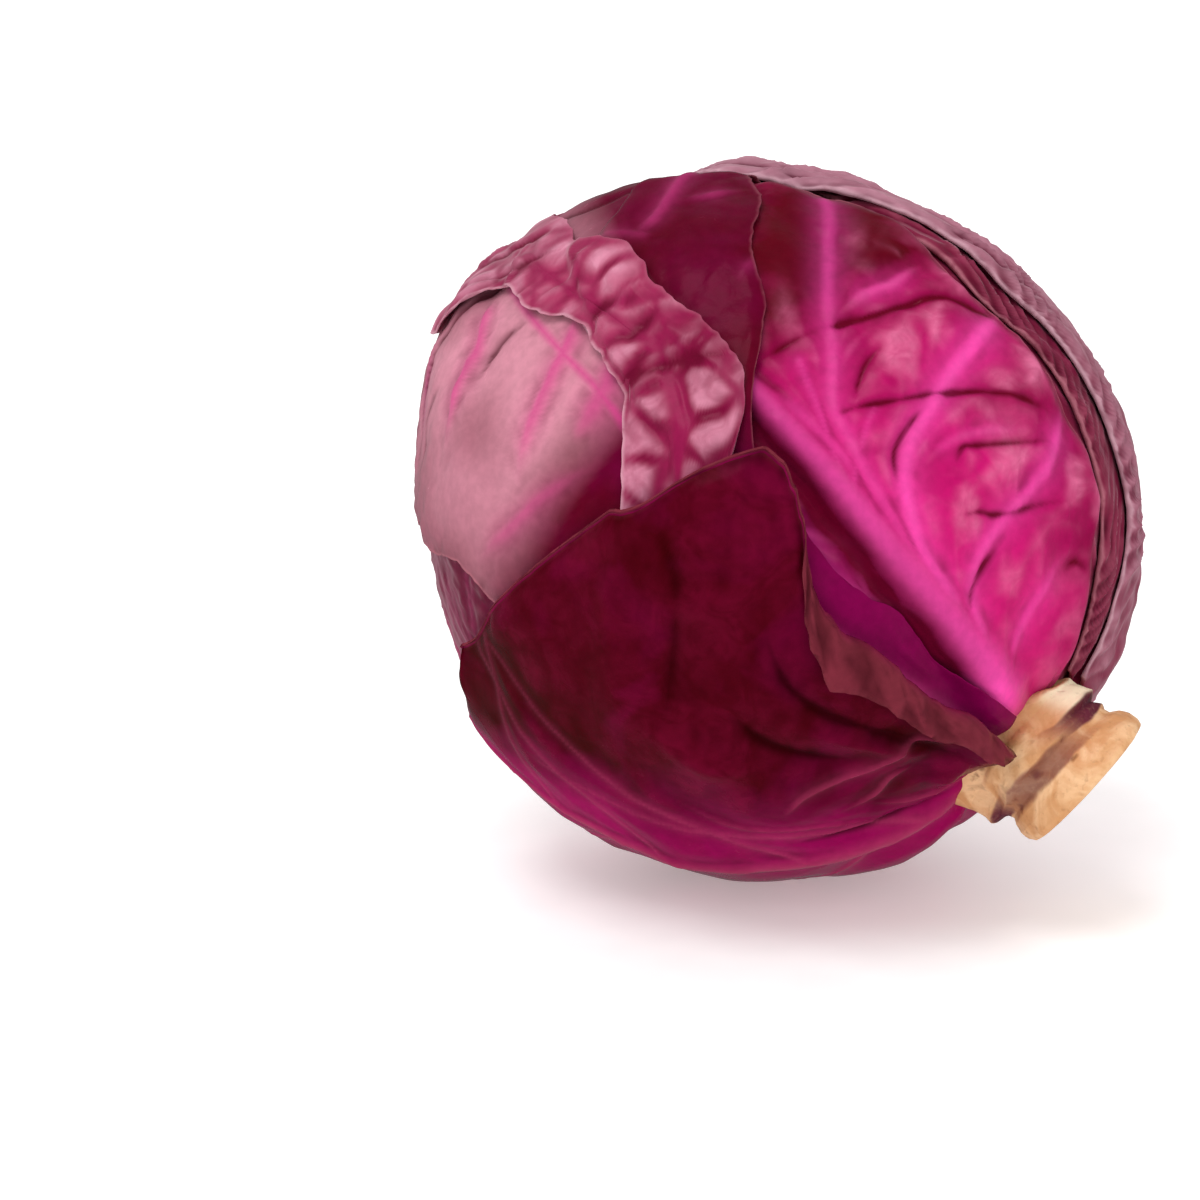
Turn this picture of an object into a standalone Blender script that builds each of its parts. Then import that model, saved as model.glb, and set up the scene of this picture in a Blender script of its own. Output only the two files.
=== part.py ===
"""A whole head of red cabbage, lying on its side with its cut stem low at the right.

Metres, +Z up. The origin is the centre of the small flat spot that the head rests on, and the front is -Y.
The head is a ball of packed leaves with loose outer leaves laid over it one after another, from the inside
out. A place on the ball is named by two angles: its reach, measured from the stem, and its azimuth, measured
round the stem from the side that faces the front, so that +120 degrees is underneath and -60 is over the top.
"""

import math
from dataclasses import dataclass

import bmesh
import bpy
import numpy as np
from mathutils import Vector
from mathutils.bvhtree import BVHTree

# The head
BALL_RADIUS = 0.0768
BALL_SEGMENTS = 44
BALL_RINGS = 22
BALL_FOLD_HEIGHT = 0.0007
BALL_FOLD_COUNT = 5
STEM_DIP = math.radians(31.3)
STEM_HEADING = math.radians(-35.2)
FRONT_RISE = math.radians(15.0)

# The blades
BLADE_THICKNESS = 0.0009
GAP = 0.0004
SWEEP = 0.32
SWEEP_CURVE = 1.3
SMOOTHING_PASSES = 3
PUCKER_HEIGHT = 0.0007
PUCKER_FLATNESS = 0.7
SIDE_PHASE = 1.7
VEIN_HEIGHT = 0.0005
VEIN_EVERY = 3
EDGE_SHARE = 0.72
EDGE_START = 0.2
TIP_SHARE = 0.85
TIP_BLUNT = 2.0
RIPPLE = 1.1
RIPPLE_RATE = 0.24
RIPPLE_START = 30.0
BORDER_STEPS = 30
RIB_TAPER = 0.8
RIB_START = 0.25
RIB_GROWTH = 6.0
COLUMN_CURVE = 1.15
FARTHEST = 0.2
PROBES = 4
LIFT_PASSES = 2

# The flat spot
FOOT_RADIUS = 0.0155
FOOT_PAD = 0.0006
FOOT_TRIM = 0.0003
CUTTER_SIDE = 0.12

# The stem
STUMP_SEGMENTS = 26
STUMP_CENTRE_OFFSET = 0.0045
STUMP_OFFSET_AZIMUTH = -90.0
STUMP_PROFILE = (
    (0.0773, 0.0150),
    (0.0825, 0.0150),
    (0.0850, 0.0158),
    (0.0875, 0.0174),
    (0.0905, 0.0184),
    (0.0945, 0.0189),
    (0.0985, 0.0190),
    (0.1000, 0.0182),
)
CUT_TILT = 0.36
CUT_TILT_AZIMUTH = 0.0
CUT_RINGS = (0.66, 0.33)
CUT_HOLLOW = 0.0006
SCAR_AZIMUTHS = (-105.0, -35.0, 40.0, 115.0, 190.0)
SCAR_WIDTH = 24.0
SCAR_HEIGHT = 0.0016
SCAR_SPAN = (0.45, 0.8)
BARK_RELIEF = 0.0006
BARK_RIDGES = 7
BARK_TWIST = 9.0
TILT_FROM = 0.3
CUT_FROM = 0.99

Angles = tuple[tuple[float, float], ...]


@dataclass(frozen=True)
class Fold:
    """A margin that turns outwards and lies back over its own blade.

    The first of the columns make the turn, up to the share named by bend, and the rest lie flat. A margin
    narrower than full_turn only lifts.
    """

    radius: float
    columns: int
    widths: Angles
    bend: float = 0.6
    least_turn: float = 0.35
    full_turn: float = 0.002


@dataclass(frozen=True)
class Leaf:
    """One loose leaf. Its midrib and borders are pairs of angles in degrees, from the stem to the tip.

    The first of a pair is the reach. The second is an azimuth or, on a leaf with an arc, which may go over
    the crown, the angle square to a great circle that leaves the stem at that azimuth.
    """

    name: str
    colour: tuple[float, float, float]
    base: float
    tip: float
    first: Angles
    last: Angles
    midrib: Angles = ((0, 0),)
    arc: float | None = None
    rows: int = 15
    columns: tuple[int, int] = (7, 7)
    rib: tuple[float, float] = (0.0024, 0.0045)
    flare: tuple[float, float] = (0.0012, 0.0012)
    tip_flare: float = 0.0008
    waves: tuple[float, float] = (4.0, 0.0)
    pucker: float = PUCKER_HEIGHT
    roughness: float = 0.45
    fold: Fold | None = None
    foot: bool = False


BRIGHT = (0.52, 0.03, 0.22)
DUSTY = (0.36, 0.08, 0.17)
DARK = (0.13, 0.008, 0.045)
PLUM = (0.17, 0.02, 0.08)
WINE = (0.2, 0.012, 0.07)
BALL_COLOUR = (0.24, 0.03, 0.16)
STUMP_COLOUR = (0.55, 0.33, 0.14)

LEAVES = (
    Leaf(
        name="low_back_leaf",
        colour=PLUM,
        arc=150.0,
        base=12.0,
        tip=178.0,
        first=((12, -9), (40, -36), (90, -50), (130, -48), (160, -34), (178, -12)),
        last=((12, 9), (40, 34), (90, 48), (130, 46), (160, 32), (178, 12)),
    ),
    Leaf(
        name="back_leaf",
        colour=PLUM,
        arc=212.0,
        base=12.0,
        tip=172.0,
        first=((12, -9), (40, -34), (90, -48), (130, -46), (155, -32), (172, -12)),
        last=((12, 9), (40, 34), (90, 50), (130, 48), (155, 34), (172, 12)),
        waves=(5.0, 1.0),
    ),
    Leaf(
        name="right_inner_leaf",
        colour=DUSTY,
        midrib=((0, -95),),
        base=12.0,
        tip=140.0,
        first=((12, -130), (40, -142), (90, -150), (125, -140), (140, -110)),
        last=((12, -62), (33, -55), (60, -50), (90, -46), (115, -46), (132, -62), (140, -80)),
        rib=(0.0014, 0.0035),
    ),
    Leaf(
        name="front_leaf",
        colour=BRIGHT,
        midrib=((0, -12.6),),
        base=11.5,
        tip=131.0,
        first=(
            (11, -58), (15, -66), (33, -66), (51, -67), (64, -62), (75, -57),
            (105, -57), (118, -54), (131, -36),
        ),
        last=((11, 16), (20, 17), (50, 15), (70, 9), (85, 4), (100, -2), (118, -6), (131, -16)),
        rows=17,
        columns=(9, 5),
        rib=(0.0042, 0.0062),
        flare=(0.0032, 0.0),
        tip_flare=0.0,
        waves=(6.5, 0.6),
        pucker=0.0012,
        roughness=0.35,
    ),
    Leaf(
        name="right_middle_leaf",
        colour=DUSTY,
        midrib=((0, -118),),
        base=12.5,
        tip=146.0,
        first=((12, -160), (40, -172), (90, -178), (125, -166), (146, -130)),
        last=(
            (12, -92), (17, -88), (33, -79), (51, -76), (63, -69), (76, -63),
            (101, -59), (125, -66), (146, -104),
        ),
        rib=(0.0014, 0.0035),
        flare=(0.0, 0.003),
        waves=(8.0, 1.4),
    ),
    Leaf(
        name="low_left_leaf",
        colour=DUSTY,
        arc=84.0,
        base=13.0,
        tip=186.0,
        first=((13, -8), (40, -28), (90, -44), (130, -44), (160, -36), (180, -20), (186, -10)),
        last=((13, 8), (40, 30), (90, 46), (130, 46), (160, 38), (180, 22), (186, 10)),
        rows=17,
        flare=(0.0, 0.002),
        waves=(5.0, 0.0),
    ),
    Leaf(
        name="upper_leaf",
        colour=WINE,
        arc=10.0,
        midrib=((0, 0), (60, 0), (110, -6), (200, -6)),
        base=13.5,
        tip=200.0,
        first=(
            (13, -5), (50, -8), (76, -12), (87, -23), (95, -31), (109, -40),
            (130, -47), (142, -50), (165, -51), (185, -44), (200, -26),
        ),
        last=((13, 8), (50, 22), (90, 32), (125, 36), (160, 38), (185, 32), (200, 14)),
        rows=20,
        columns=(7, 6),
        rib=(0.0014, 0.004),
        flare=(0.0004, 0.0012),
        tip_flare=0.001,
        pucker=0.0005,
        roughness=0.25,
    ),
    Leaf(
        name="torn_leaf",
        colour=DUSTY,
        arc=10.0,
        midrib=((12, 4), (40, 15), (60, 18), (80, 4), (90, -10), (103, -17), (150, -10), (190, -4)),
        base=14.0,
        tip=190.0,
        first=(
            (14, -1), (50, 4), (68, 3), (76, 0), (81, -11), (84, -19), (87, -23),
            (109, -25), (129, -22), (151, -17), (175, -18), (190, -12),
        ),
        last=(
            (14, 9), (40, 30), (60, 35), (75, 27), (88, 10), (97, -2), (104, -10),
            (120, -10), (138, -7), (147, -2), (158, 8), (175, 12), (190, 4),
        ),
        rows=22,
        columns=(6, 6),
        rib=(0.0020, 0.0040),
        flare=(0.0009, 0.0016),
        tip_flare=0.0,
        waves=(9.0, 0.9),
        pucker=0.0013,
        roughness=0.5,
    ),
    Leaf(
        name="bottom_leaf",
        colour=DARK,
        midrib=((0, 84),),
        base=11.5,
        tip=106.0,
        first=(
            (11, 12), (20, 9), (29, 6), (40, 10), (53, 8), (62, 4), (70, -3), (78, -6),
            (83, -3), (86, 6), (92, 22), (99, 42), (106, 64),
        ),
        last=((11, 146), (40, 158), (70, 160), (90, 148), (106, 108)),
        rows=16,
        columns=(9, 7),
        rib=(0.0022, 0.005),
        flare=(0.0012, 0.0014),
        tip_flare=0.0020,
        waves=(5.0, 2.2),
        pucker=0.0006,
        roughness=0.3,
        fold=Fold(
            radius=0.0017,
            columns=5,
            widths=(
                (12, 0.001), (20, 0.0045), (30, 0.006), (40, 0.007), (52, 0.011), (59, 0.006), (66, 0.0),
            ),
        ),
        foot=True,
    ),
    Leaf(
        name="top_leaf",
        colour=DUSTY,
        midrib=((0, -138),),
        base=12.0,
        tip=154.0,
        first=((12, -176), (40, -192), (90, -200), (125, -194), (146, -172), (154, -150)),
        last=(
            (12, -100), (28, -95), (44, -90), (56, -82), (67, -72), (80, -66), (100, -62),
            (113, -57), (125, -52), (140, -60), (154, -110),
        ),
        rows=16,
        columns=(6, 8),
        flare=(0.0016, 0.0034),
        waves=(8.5, 0.3),
    ),
)


def stem_frame() -> tuple[np.ndarray, np.ndarray, np.ndarray]:
    """The stem's direction out of the head, and the directions of azimuth 0 and 90 round it."""
    stem = np.array(
        [
            math.cos(STEM_DIP) * math.cos(STEM_HEADING),
            math.cos(STEM_DIP) * math.sin(STEM_HEADING),
            -math.sin(STEM_DIP),
        ]
    )
    front = np.array([0.0, -math.cos(FRONT_RISE), math.sin(FRONT_RISE)])
    zero = front - front.dot(stem) * stem
    zero /= np.linalg.norm(zero)
    return stem, zero, np.cross(stem, zero)


STEM, ZERO, QUARTER = stem_frame()


def directions(reach: np.ndarray, azimuth: np.ndarray) -> np.ndarray:
    """Unit vectors from the head's centre, for angles in degrees."""
    along, turn = np.radians(reach)[..., None], np.radians(azimuth)[..., None]
    return np.cos(along) * STEM + np.sin(along) * (np.cos(turn) * ZERO + np.sin(turn) * QUARTER)


def arc_directions(reach: np.ndarray, aside: np.ndarray, arc: float) -> np.ndarray:
    """Unit vectors for angles along a great circle through the stem, and square to it."""
    along, off, turn = np.radians(reach)[..., None], np.radians(aside)[..., None], math.radians(arc)
    start = math.cos(turn) * ZERO + math.sin(turn) * QUARTER
    middle = np.cos(along) * STEM + np.sin(along) * start
    return np.cos(off) * middle + np.sin(off) * np.cross(STEM, start)


def smooth_step(value: np.ndarray) -> np.ndarray:
    """0 below 0, 1 above 1 and a smooth rise between."""
    share = np.clip(value, 0.0, 1.0)
    return share * share * (3.0 - 2.0 * share)


class LeafGrid:
    """The rows and columns of one blade: rows sweep from the midrib to the borders as its veins do."""

    def __init__(self, leaf: Leaf) -> None:
        self.leaf = leaf
        self.p = np.linspace(leaf.base, leaf.tip - TIP_BLUNT, leaf.rows)
        first, last = leaf.columns
        shares = np.concatenate([-np.linspace(1, 0, first + 1)[:-1], np.linspace(0, 1, last + 1)])
        self.q = np.sign(shares) * np.abs(shares) ** COLUMN_CURVE
        self.midrib = np.interp(self.p, *np.array(leaf.midrib, float).T)
        self.reach, self.side = self.angles()
        if leaf.arc is None:
            self.rays = directions(self.reach, self.side)
        else:
            self.rays = arc_directions(self.reach, self.side, leaf.arc)

    def spread(self, offset: np.ndarray, reach: np.ndarray) -> np.ndarray:
        """The angle on the ball, in degrees, that a side offset at this reach makes."""
        return offset * np.sin(np.radians(reach)) if self.leaf.arc is None else offset

    def border(self, outline: Angles) -> tuple[np.ndarray, np.ndarray]:
        """The reach and the side angle at which each row meets a border."""
        at, sides = np.array(outline, float).T
        reach = self.p.copy()
        for _ in range(BORDER_STEPS):
            offset = np.abs(np.interp(reach, at, sides) - self.midrib)
            swept = self.p + SWEEP * self.spread(offset, reach)
            reach = 0.5 * (reach + np.minimum(swept, self.leaf.tip))
        ripple = np.sin(RIPPLE_RATE * reach + self.leaf.waves[1]) / self.spread(np.ones_like(reach), reach)
        grown = smooth_step((reach - self.leaf.base) / RIPPLE_START)
        return reach, np.interp(reach, at, sides) + RIPPLE * ripple * grown

    def angles(self) -> tuple[np.ndarray, np.ndarray]:
        """Each grid point's reach and side angle."""
        share = np.abs(self.q)[None, :]
        ends = [self.border(self.leaf.first), self.border(self.leaf.last)]
        half = (self.q > 0).astype(int)
        reach_end = np.stack([ends[h][0] for h in half], axis=1)
        side_end = np.stack([ends[h][1] for h in half], axis=1)
        reach = self.p[:, None] + (reach_end - self.p[:, None]) * share**SWEEP_CURVE
        middle = self.midrib[:, None]
        return reach, middle + (side_end - middle) * share

    def relief(self) -> np.ndarray:
        """How far the blade lifts off what it lies on: puckers between the veins, and waved margins."""
        leaf = self.leaf
        share = np.abs(self.q)[None, :]
        rows = np.arange(len(self.p))[:, None]
        between = (rows % VEIN_EVERY != 0) * np.ones_like(share)
        lift = leaf.pucker * between * np.sin(np.pi * np.clip(share, 0.0, 1.0)) ** PUCKER_FLATNESS
        edge = smooth_step((share - EDGE_SHARE) / (1.0 - EDGE_SHARE))
        flare = np.where(self.q < 0, leaf.flare[0], leaf.flare[1])[None, :]
        count, phase = leaf.waves
        along = (self.p[:, None] - leaf.base) / (leaf.tip - leaf.base)
        wave = 0.5 + 0.5 * np.sin(2 * np.pi * count * along + phase + SIDE_PHASE * np.sign(self.q)[None, :])
        lift = lift + flare * edge * wave * smooth_step(along / EDGE_START)
        across = 0.6 + 0.4 * np.cos(3 * np.pi * self.q[None, :] + phase)
        return lift + leaf.tip_flare * smooth_step((along - TIP_SHARE) / (1.0 - TIP_SHARE)) * across

    def thickness(self) -> np.ndarray:
        """The blade with its midrib and its side veins, as a thickness at each grid point."""
        leaf = self.leaf
        along = (self.p[:, None] - leaf.base) / (leaf.tip - leaf.base)
        height, width = leaf.rib
        off = np.radians(self.spread(self.side - self.midrib[:, None], self.reach)) * BALL_RADIUS
        taper = 1.0 - RIB_TAPER * along
        grown = smooth_step(RIB_START + RIB_GROWTH * along)
        rib = height * taper * np.exp(-((off / (width * taper)) ** 2)) * grown
        vein = (np.arange(len(self.p)) % VEIN_EVERY == 0)[:, None] * np.ones_like(off)
        vein = vein * VEIN_HEIGHT * (1.0 - 0.5 * np.abs(self.q)[None, :])
        return BLADE_THICKNESS + np.maximum(rib, vein)


class Head:
    """The head so far, which each further leaf is laid on."""

    def __init__(self) -> None:
        self.trees: list[BVHTree] = []

    def add(self, piece: bpy.types.Object) -> None:
        """Counts a finished piece among those that the next leaves lie on."""
        self.trees.append(BVHTree.FromObject(piece, bpy.context.evaluated_depsgraph_get()))

    def height(self, ray: np.ndarray) -> float:
        """How far out the pieces reach along a ray from the centre."""
        inwards = Vector(-ray)
        start = Vector(ray * FARTHEST)
        hits = [tree.ray_cast(start, inwards)[3] for tree in self.trees]
        return max((FARTHEST - hit for hit in hits if hit is not None), default=0.0)

    @staticmethod
    def subdivided(rays: np.ndarray) -> np.ndarray:
        """The same rays with others evenly between them, row by row."""
        at = np.linspace(0, len(rays) - 1, (len(rays) - 1) * PROBES + 1)
        lower = np.minimum(at.astype(int), len(rays) - 2)
        share = (at - lower)[:, None, None]
        return rays[lower] * (1 - share) + rays[lower + 1] * share

    @staticmethod
    def widest(probes: np.ndarray) -> np.ndarray:
        """For each grid point, the largest value among the probes up to one cell away."""
        padded = np.pad(probes, PROBES, mode="edge")
        window = np.lib.stride_tricks.sliding_window_view(padded, (2 * PROBES + 1, 2 * PROBES + 1))
        return window.max(axis=(2, 3))[::PROBES, ::PROBES]

    def drape(self, rays: np.ndarray) -> np.ndarray:
        """Radii at which a blade over these rays clears every piece under it, with its dips filled."""
        dense = self.subdivided(self.subdivided(rays).swapaxes(0, 1)).swapaxes(0, 1)
        dense = dense / np.linalg.norm(dense, axis=2, keepdims=True)
        under = np.array([[self.height(ray) for ray in row] for row in dense]) + GAP
        radii = self.widest(under)
        for _ in range(LIFT_PASSES):
            points = rays * radii[..., None]
            chords = self.subdivided(self.subdivided(points).swapaxes(0, 1)).swapaxes(0, 1)
            radii = radii + self.widest(np.maximum(under - np.linalg.norm(chords, axis=2), 0.0))
        for _ in range(SMOOTHING_PASSES):
            edge = np.pad(radii, 1, mode="edge")
            mean = (edge[:-2, 1:-1] + edge[2:, 1:-1] + edge[1:-1, :-2] + edge[1:-1, 2:]) / 4
            radii = np.maximum(radii, mean)
        return radii


def make_material(name: str, colour: tuple[float, float, float], roughness: float) -> bpy.types.Material:
    """A plain surface of one colour."""
    material = bpy.data.materials.new(name)
    material.use_nodes = True
    surface = material.node_tree.nodes["Principled BSDF"]
    surface.inputs["Base Color"].default_value = (*colour, 1.0)
    surface.inputs["Roughness"].default_value = roughness
    surface.inputs["Metallic"].default_value = 0.0
    return material


def make_object(name: str, mesh: bmesh.types.BMesh, collection: bpy.types.Collection) -> bpy.types.Object:
    """Turns an edited mesh into an object of the collection, shaded smooth."""
    data = bpy.data.meshes.new(name)
    mesh.to_mesh(data)
    mesh.free()
    data.shade_smooth()
    piece = bpy.data.objects.new(name, data)
    collection.objects.link(piece)
    return piece


def make_ball(collection: bpy.types.Collection) -> bpy.types.Object:
    """The packed inner leaves: a ball turned about the stem, with low folds and a flat underside."""
    mesh = bmesh.new()
    bmesh.ops.create_uvsphere(mesh, u_segments=BALL_SEGMENTS, v_segments=BALL_RINGS, radius=1.0)
    flat = math.sqrt(BALL_RADIUS**2 - FOOT_RADIUS**2)
    for vertex in mesh.verts:
        turn = math.atan2(vertex.co.y, vertex.co.x)
        ray = vertex.co.x * ZERO + vertex.co.y * QUARTER + vertex.co.z * STEM
        fold = math.hypot(vertex.co.x, vertex.co.y) * math.sin(BALL_FOLD_COUNT * turn + 2.0 * vertex.co.z)
        radius = BALL_RADIUS + BALL_FOLD_HEIGHT * (fold - 1.0)
        if ray[2] * radius < -flat:
            radius = -flat / ray[2]
        vertex.co = Vector(ray * radius)
    ball = make_object("packed_head", mesh, collection)
    ball.data.materials.append(make_material("packed_leaves", BALL_COLOUR, 0.4))
    return ball


def folded_columns(points: np.ndarray, rays: np.ndarray, grid: LeafGrid, fold: Fold) -> np.ndarray:
    """Columns past the first border, from the free edge inwards: the margin turned back over the blade."""
    border, ray = points[:, 0], rays[:, 0]
    across = border - points[:, 1]
    across -= np.sum(across * ray, axis=1, keepdims=True) * ray
    across /= np.linalg.norm(across, axis=1, keepdims=True)
    at, widths = np.array(fold.widths, float).T
    width = np.interp(grid.reach[:, 0], at, widths)[:, None]
    turn = math.pi * np.clip(fold.least_turn + (1.0 - fold.least_turn) * width / fold.full_turn, 0.0, 1.0)
    made = []
    for column in range(fold.columns, 0, -1):
        share = column / fold.columns
        angle = turn * min(1.0, share / fold.bend)
        back = width * max(0.0, (share - fold.bend) / (1.0 - fold.bend))
        lift = fold.radius * (1.0 - np.cos(angle))
        made.append(border + across * (fold.radius * np.sin(angle) - back) + ray * lift)
    return np.stack(made, axis=1)


def make_leaf(
    leaf: Leaf, head: Head, collection: bpy.types.Collection
) -> tuple[bpy.types.Object, np.ndarray]:
    """One leaf laid on the head: a swept grid, given its thickness outwards by Solidify.

    Returns:
        The leaf and the radii of its inner face, in metres.
    """
    grid = LeafGrid(leaf)
    radii = head.drape(grid.rays) + grid.relief()
    thickness = grid.thickness()
    if leaf.foot:
        radii, under = flatten_foot(grid.rays, radii)
        thickness[under] = BLADE_THICKNESS + FOOT_PAD
    points = grid.rays * radii[..., None]
    if leaf.fold:
        extra = folded_columns(points, grid.rays, grid, leaf.fold)
        points = np.concatenate([extra, points], axis=1)
        margin = np.repeat(thickness[:, :1], leaf.fold.columns, axis=1)
        thickness = np.concatenate([margin, thickness], axis=1)
    mesh = bmesh.new()
    weights = mesh.verts.layers.deform.verify()
    largest = float(thickness.max())
    vertices = [[mesh.verts.new(point) for point in row] for row in points]
    for row, values in zip(vertices, thickness):
        for vertex, value in zip(row, values):
            vertex[weights][0] = float(value) / largest
    for upper, lower in zip(vertices[:-1], vertices[1:]):
        for j in range(len(upper) - 1):
            mesh.faces.new((upper[j], lower[j], lower[j + 1], upper[j + 1]))
    bmesh.ops.triangulate(mesh, faces=mesh.faces[:], quad_method="SHORT_EDGE")
    piece = make_object(leaf.name, mesh, collection)
    piece.vertex_groups.new(name="thickness")
    solidify = piece.modifiers.new("blade", "SOLIDIFY")
    solidify.thickness = largest
    solidify.offset = 1.0
    solidify.vertex_group = "thickness"
    piece.data.materials.append(make_material(f"{leaf.name}_skin", leaf.colour, leaf.roughness))
    return piece, radii


def flatten_foot(rays: np.ndarray, radii: np.ndarray) -> tuple[np.ndarray, np.ndarray]:
    """Brings the underside to one level where the head rests, no higher than the blade already lies.

    Returns:
        The radii, and which grid points are on the flat spot.
    """
    points = rays * radii[..., None]
    under = (np.hypot(points[..., 0], points[..., 1]) < FOOT_RADIUS) & (rays[..., 2] < 0)
    depth = points[..., 2][under].min()
    return np.where(under, depth / rays[..., 2], radii), under


def make_stump(collection: bpy.types.Collection) -> bpy.types.Object:
    """The cut stem: a drum divided along its length, shaped to a profile, with leaf scars round it."""
    levels = len(STUMP_PROFILE)
    mesh = bmesh.new()
    bmesh.ops.create_cone(mesh, cap_ends=True, segments=STUMP_SEGMENTS, radius1=1.0, radius2=1.0, depth=2.0)
    sides = [edge for edge in mesh.edges if abs(edge.verts[0].co.z - edge.verts[1].co.z) > 1.0]
    bmesh.ops.subdivide_edges(mesh, edges=sides, cuts=levels - 2, use_grid_fill=True)
    cut_face = max(mesh.faces, key=lambda face: face.calc_center_median().z)
    for outer, inner in zip((1.0, *CUT_RINGS), CUT_RINGS):
        bmesh.ops.inset_individual(mesh, faces=[cut_face], thickness=outer - inner)
    offset = directions(np.array(90.0), np.array(STUMP_OFFSET_AZIMUTH)) * STUMP_CENTRE_OFFSET
    reaches, radii = np.array(STUMP_PROFILE).T
    for vertex in mesh.verts:
        level = (vertex.co.z + 1.0) / 2.0 * (levels - 1)
        turn = math.atan2(vertex.co.y, vertex.co.x)
        share = math.hypot(vertex.co.x, vertex.co.y)
        reach = float(np.interp(level, range(levels), reaches))
        radius = float(np.interp(level, range(levels), radii))
        rise = level / (levels - 1)
        scarred = SCAR_SPAN[0] < rise < SCAR_SPAN[1]
        for scar in SCAR_AZIMUTHS:
            near = (math.degrees(turn) - scar + 180.0) % 360.0 - 180.0
            radius += SCAR_HEIGHT * math.exp(-((near / SCAR_WIDTH) ** 2)) * scarred
        radius += BARK_RELIEF * math.sin(BARK_RIDGES * turn + BARK_TWIST * rise) * rise
        flat = radius * share * math.cos(turn - math.radians(CUT_TILT_AZIMUTH))
        reach += CUT_TILT * flat * smooth_rise((rise - TILT_FROM) / (1.0 - TILT_FROM))
        reach -= CUT_HOLLOW * (1.0 - share) * (rise > CUT_FROM)
        ray = math.cos(turn) * ZERO + math.sin(turn) * QUARTER
        vertex.co = Vector(STEM * reach + ray * radius * share + offset * smooth_rise(rise))
    stump = make_object("stem_stump", mesh, collection)
    stump.data.set_sharp_from_angle(angle=math.radians(50.0))
    stump.data.materials.append(make_material("cut_stem", STUMP_COLOUR, 0.75))
    return stump


def smooth_rise(share: float) -> float:
    """A smooth rise from 0 to 1."""
    return float(smooth_step(np.array(share)))


def make_foot_cutter(level: float, collection: bpy.types.Collection) -> bpy.types.Object:
    """A block whose top face is the plane that the head rests on."""
    mesh = bmesh.new()
    bmesh.ops.create_cube(mesh, size=CUTTER_SIDE)
    bmesh.ops.translate(mesh, verts=mesh.verts, vec=(0.0, 0.0, level - CUTTER_SIDE / 2))
    cutter = make_object("foot_plane", mesh, collection)
    cutter.hide_render = True
    cutter.display_type = "WIRE"
    return cutter


def main() -> None:
    """Builds the head from its packed middle outwards and sets it on its flat spot."""
    for old in list(bpy.data.objects):
        bpy.data.objects.remove(old, do_unlink=True)
    parts = bpy.data.collections.new("red_cabbage")
    cutters = bpy.data.collections.new("cutters")
    for collection in (parts, cutters):
        bpy.context.scene.collection.children.link(collection)
    pieces = [make_ball(parts), make_stump(parts)]
    head = Head()
    head.add(pieces[0])
    level = 0.0
    for leaf in LEAVES:
        piece, radii = make_leaf(leaf, head, parts)
        if leaf.foot:
            lowest = float((LeafGrid(leaf).rays[..., 2] * radii).min())
            level = lowest - BLADE_THICKNESS - FOOT_PAD + FOOT_TRIM
            trim = piece.modifiers.new("flat_spot", "BOOLEAN")
            trim.object = make_foot_cutter(level, cutters)
        bpy.context.view_layer.update()
        head.add(piece)
        pieces.append(piece)
    for piece in [*pieces, *cutters.objects]:
        piece.location.z = -level


if __name__ == "__main__":
    main()
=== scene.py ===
"""Dresses the whole head of red cabbage that lies on its side on a pale floor.

Metres, +Z up. Each packed leaf of the frame is replaced by a fine one of the same outline, with its veins,
blisters, folds and waved margins, laid on the leaves under it one after another. A place on the head is named
by two angles in degrees: its reach, measured from the stem, and its side, which is the azimuth round the stem
or, on a leaf with an arc, the angle square to the great circle that leaves the stem at that azimuth.
"""

import logging
import math
from dataclasses import dataclass
from enum import Enum

import bmesh
import bpy
import numpy as np
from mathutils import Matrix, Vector
from mathutils.bvhtree import BVHTree
from mathutils.kdtree import KDTree

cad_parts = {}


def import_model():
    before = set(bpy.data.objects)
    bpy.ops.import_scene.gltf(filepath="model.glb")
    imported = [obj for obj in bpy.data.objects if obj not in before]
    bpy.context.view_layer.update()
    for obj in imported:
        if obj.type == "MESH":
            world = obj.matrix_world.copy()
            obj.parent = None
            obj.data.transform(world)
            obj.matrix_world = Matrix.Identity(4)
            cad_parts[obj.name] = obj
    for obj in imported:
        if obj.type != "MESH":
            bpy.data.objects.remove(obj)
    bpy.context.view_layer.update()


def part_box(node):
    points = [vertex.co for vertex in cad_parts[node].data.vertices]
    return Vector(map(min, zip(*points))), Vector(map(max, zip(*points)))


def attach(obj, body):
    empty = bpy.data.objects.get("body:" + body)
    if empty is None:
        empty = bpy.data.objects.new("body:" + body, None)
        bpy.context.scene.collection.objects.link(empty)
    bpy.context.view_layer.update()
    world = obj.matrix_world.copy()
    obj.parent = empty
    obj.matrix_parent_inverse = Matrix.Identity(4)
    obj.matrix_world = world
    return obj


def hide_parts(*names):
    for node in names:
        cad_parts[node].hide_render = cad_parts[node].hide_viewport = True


LOG = logging.getLogger("red_cabbage")

# The head's frame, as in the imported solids
BALL_RADIUS = 0.0768
BALL_FLAT_RADIUS = 0.0155
STEM_DIP = math.radians(31.3)
STEM_HEADING = math.radians(-35.2)
FRONT_RISE = math.radians(15.0)

# The outlines of the blades, in degrees
SWEEP = 0.32
SWEEP_CURVE = 1.3
RIPPLE = 1.1
RIPPLE_RATE = 0.24
RIPPLE_START = 30.0
BORDER_STEPS = 30
CORNER_STEPS = (-2.4, -0.8, 0.8, 2.4)
TIP_BLUNT = 2.0
JAG_SIZE = 0.004
FINE_JAG_SIZE = 0.0017
BROAD_JAG_SIZE = 0.009

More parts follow.
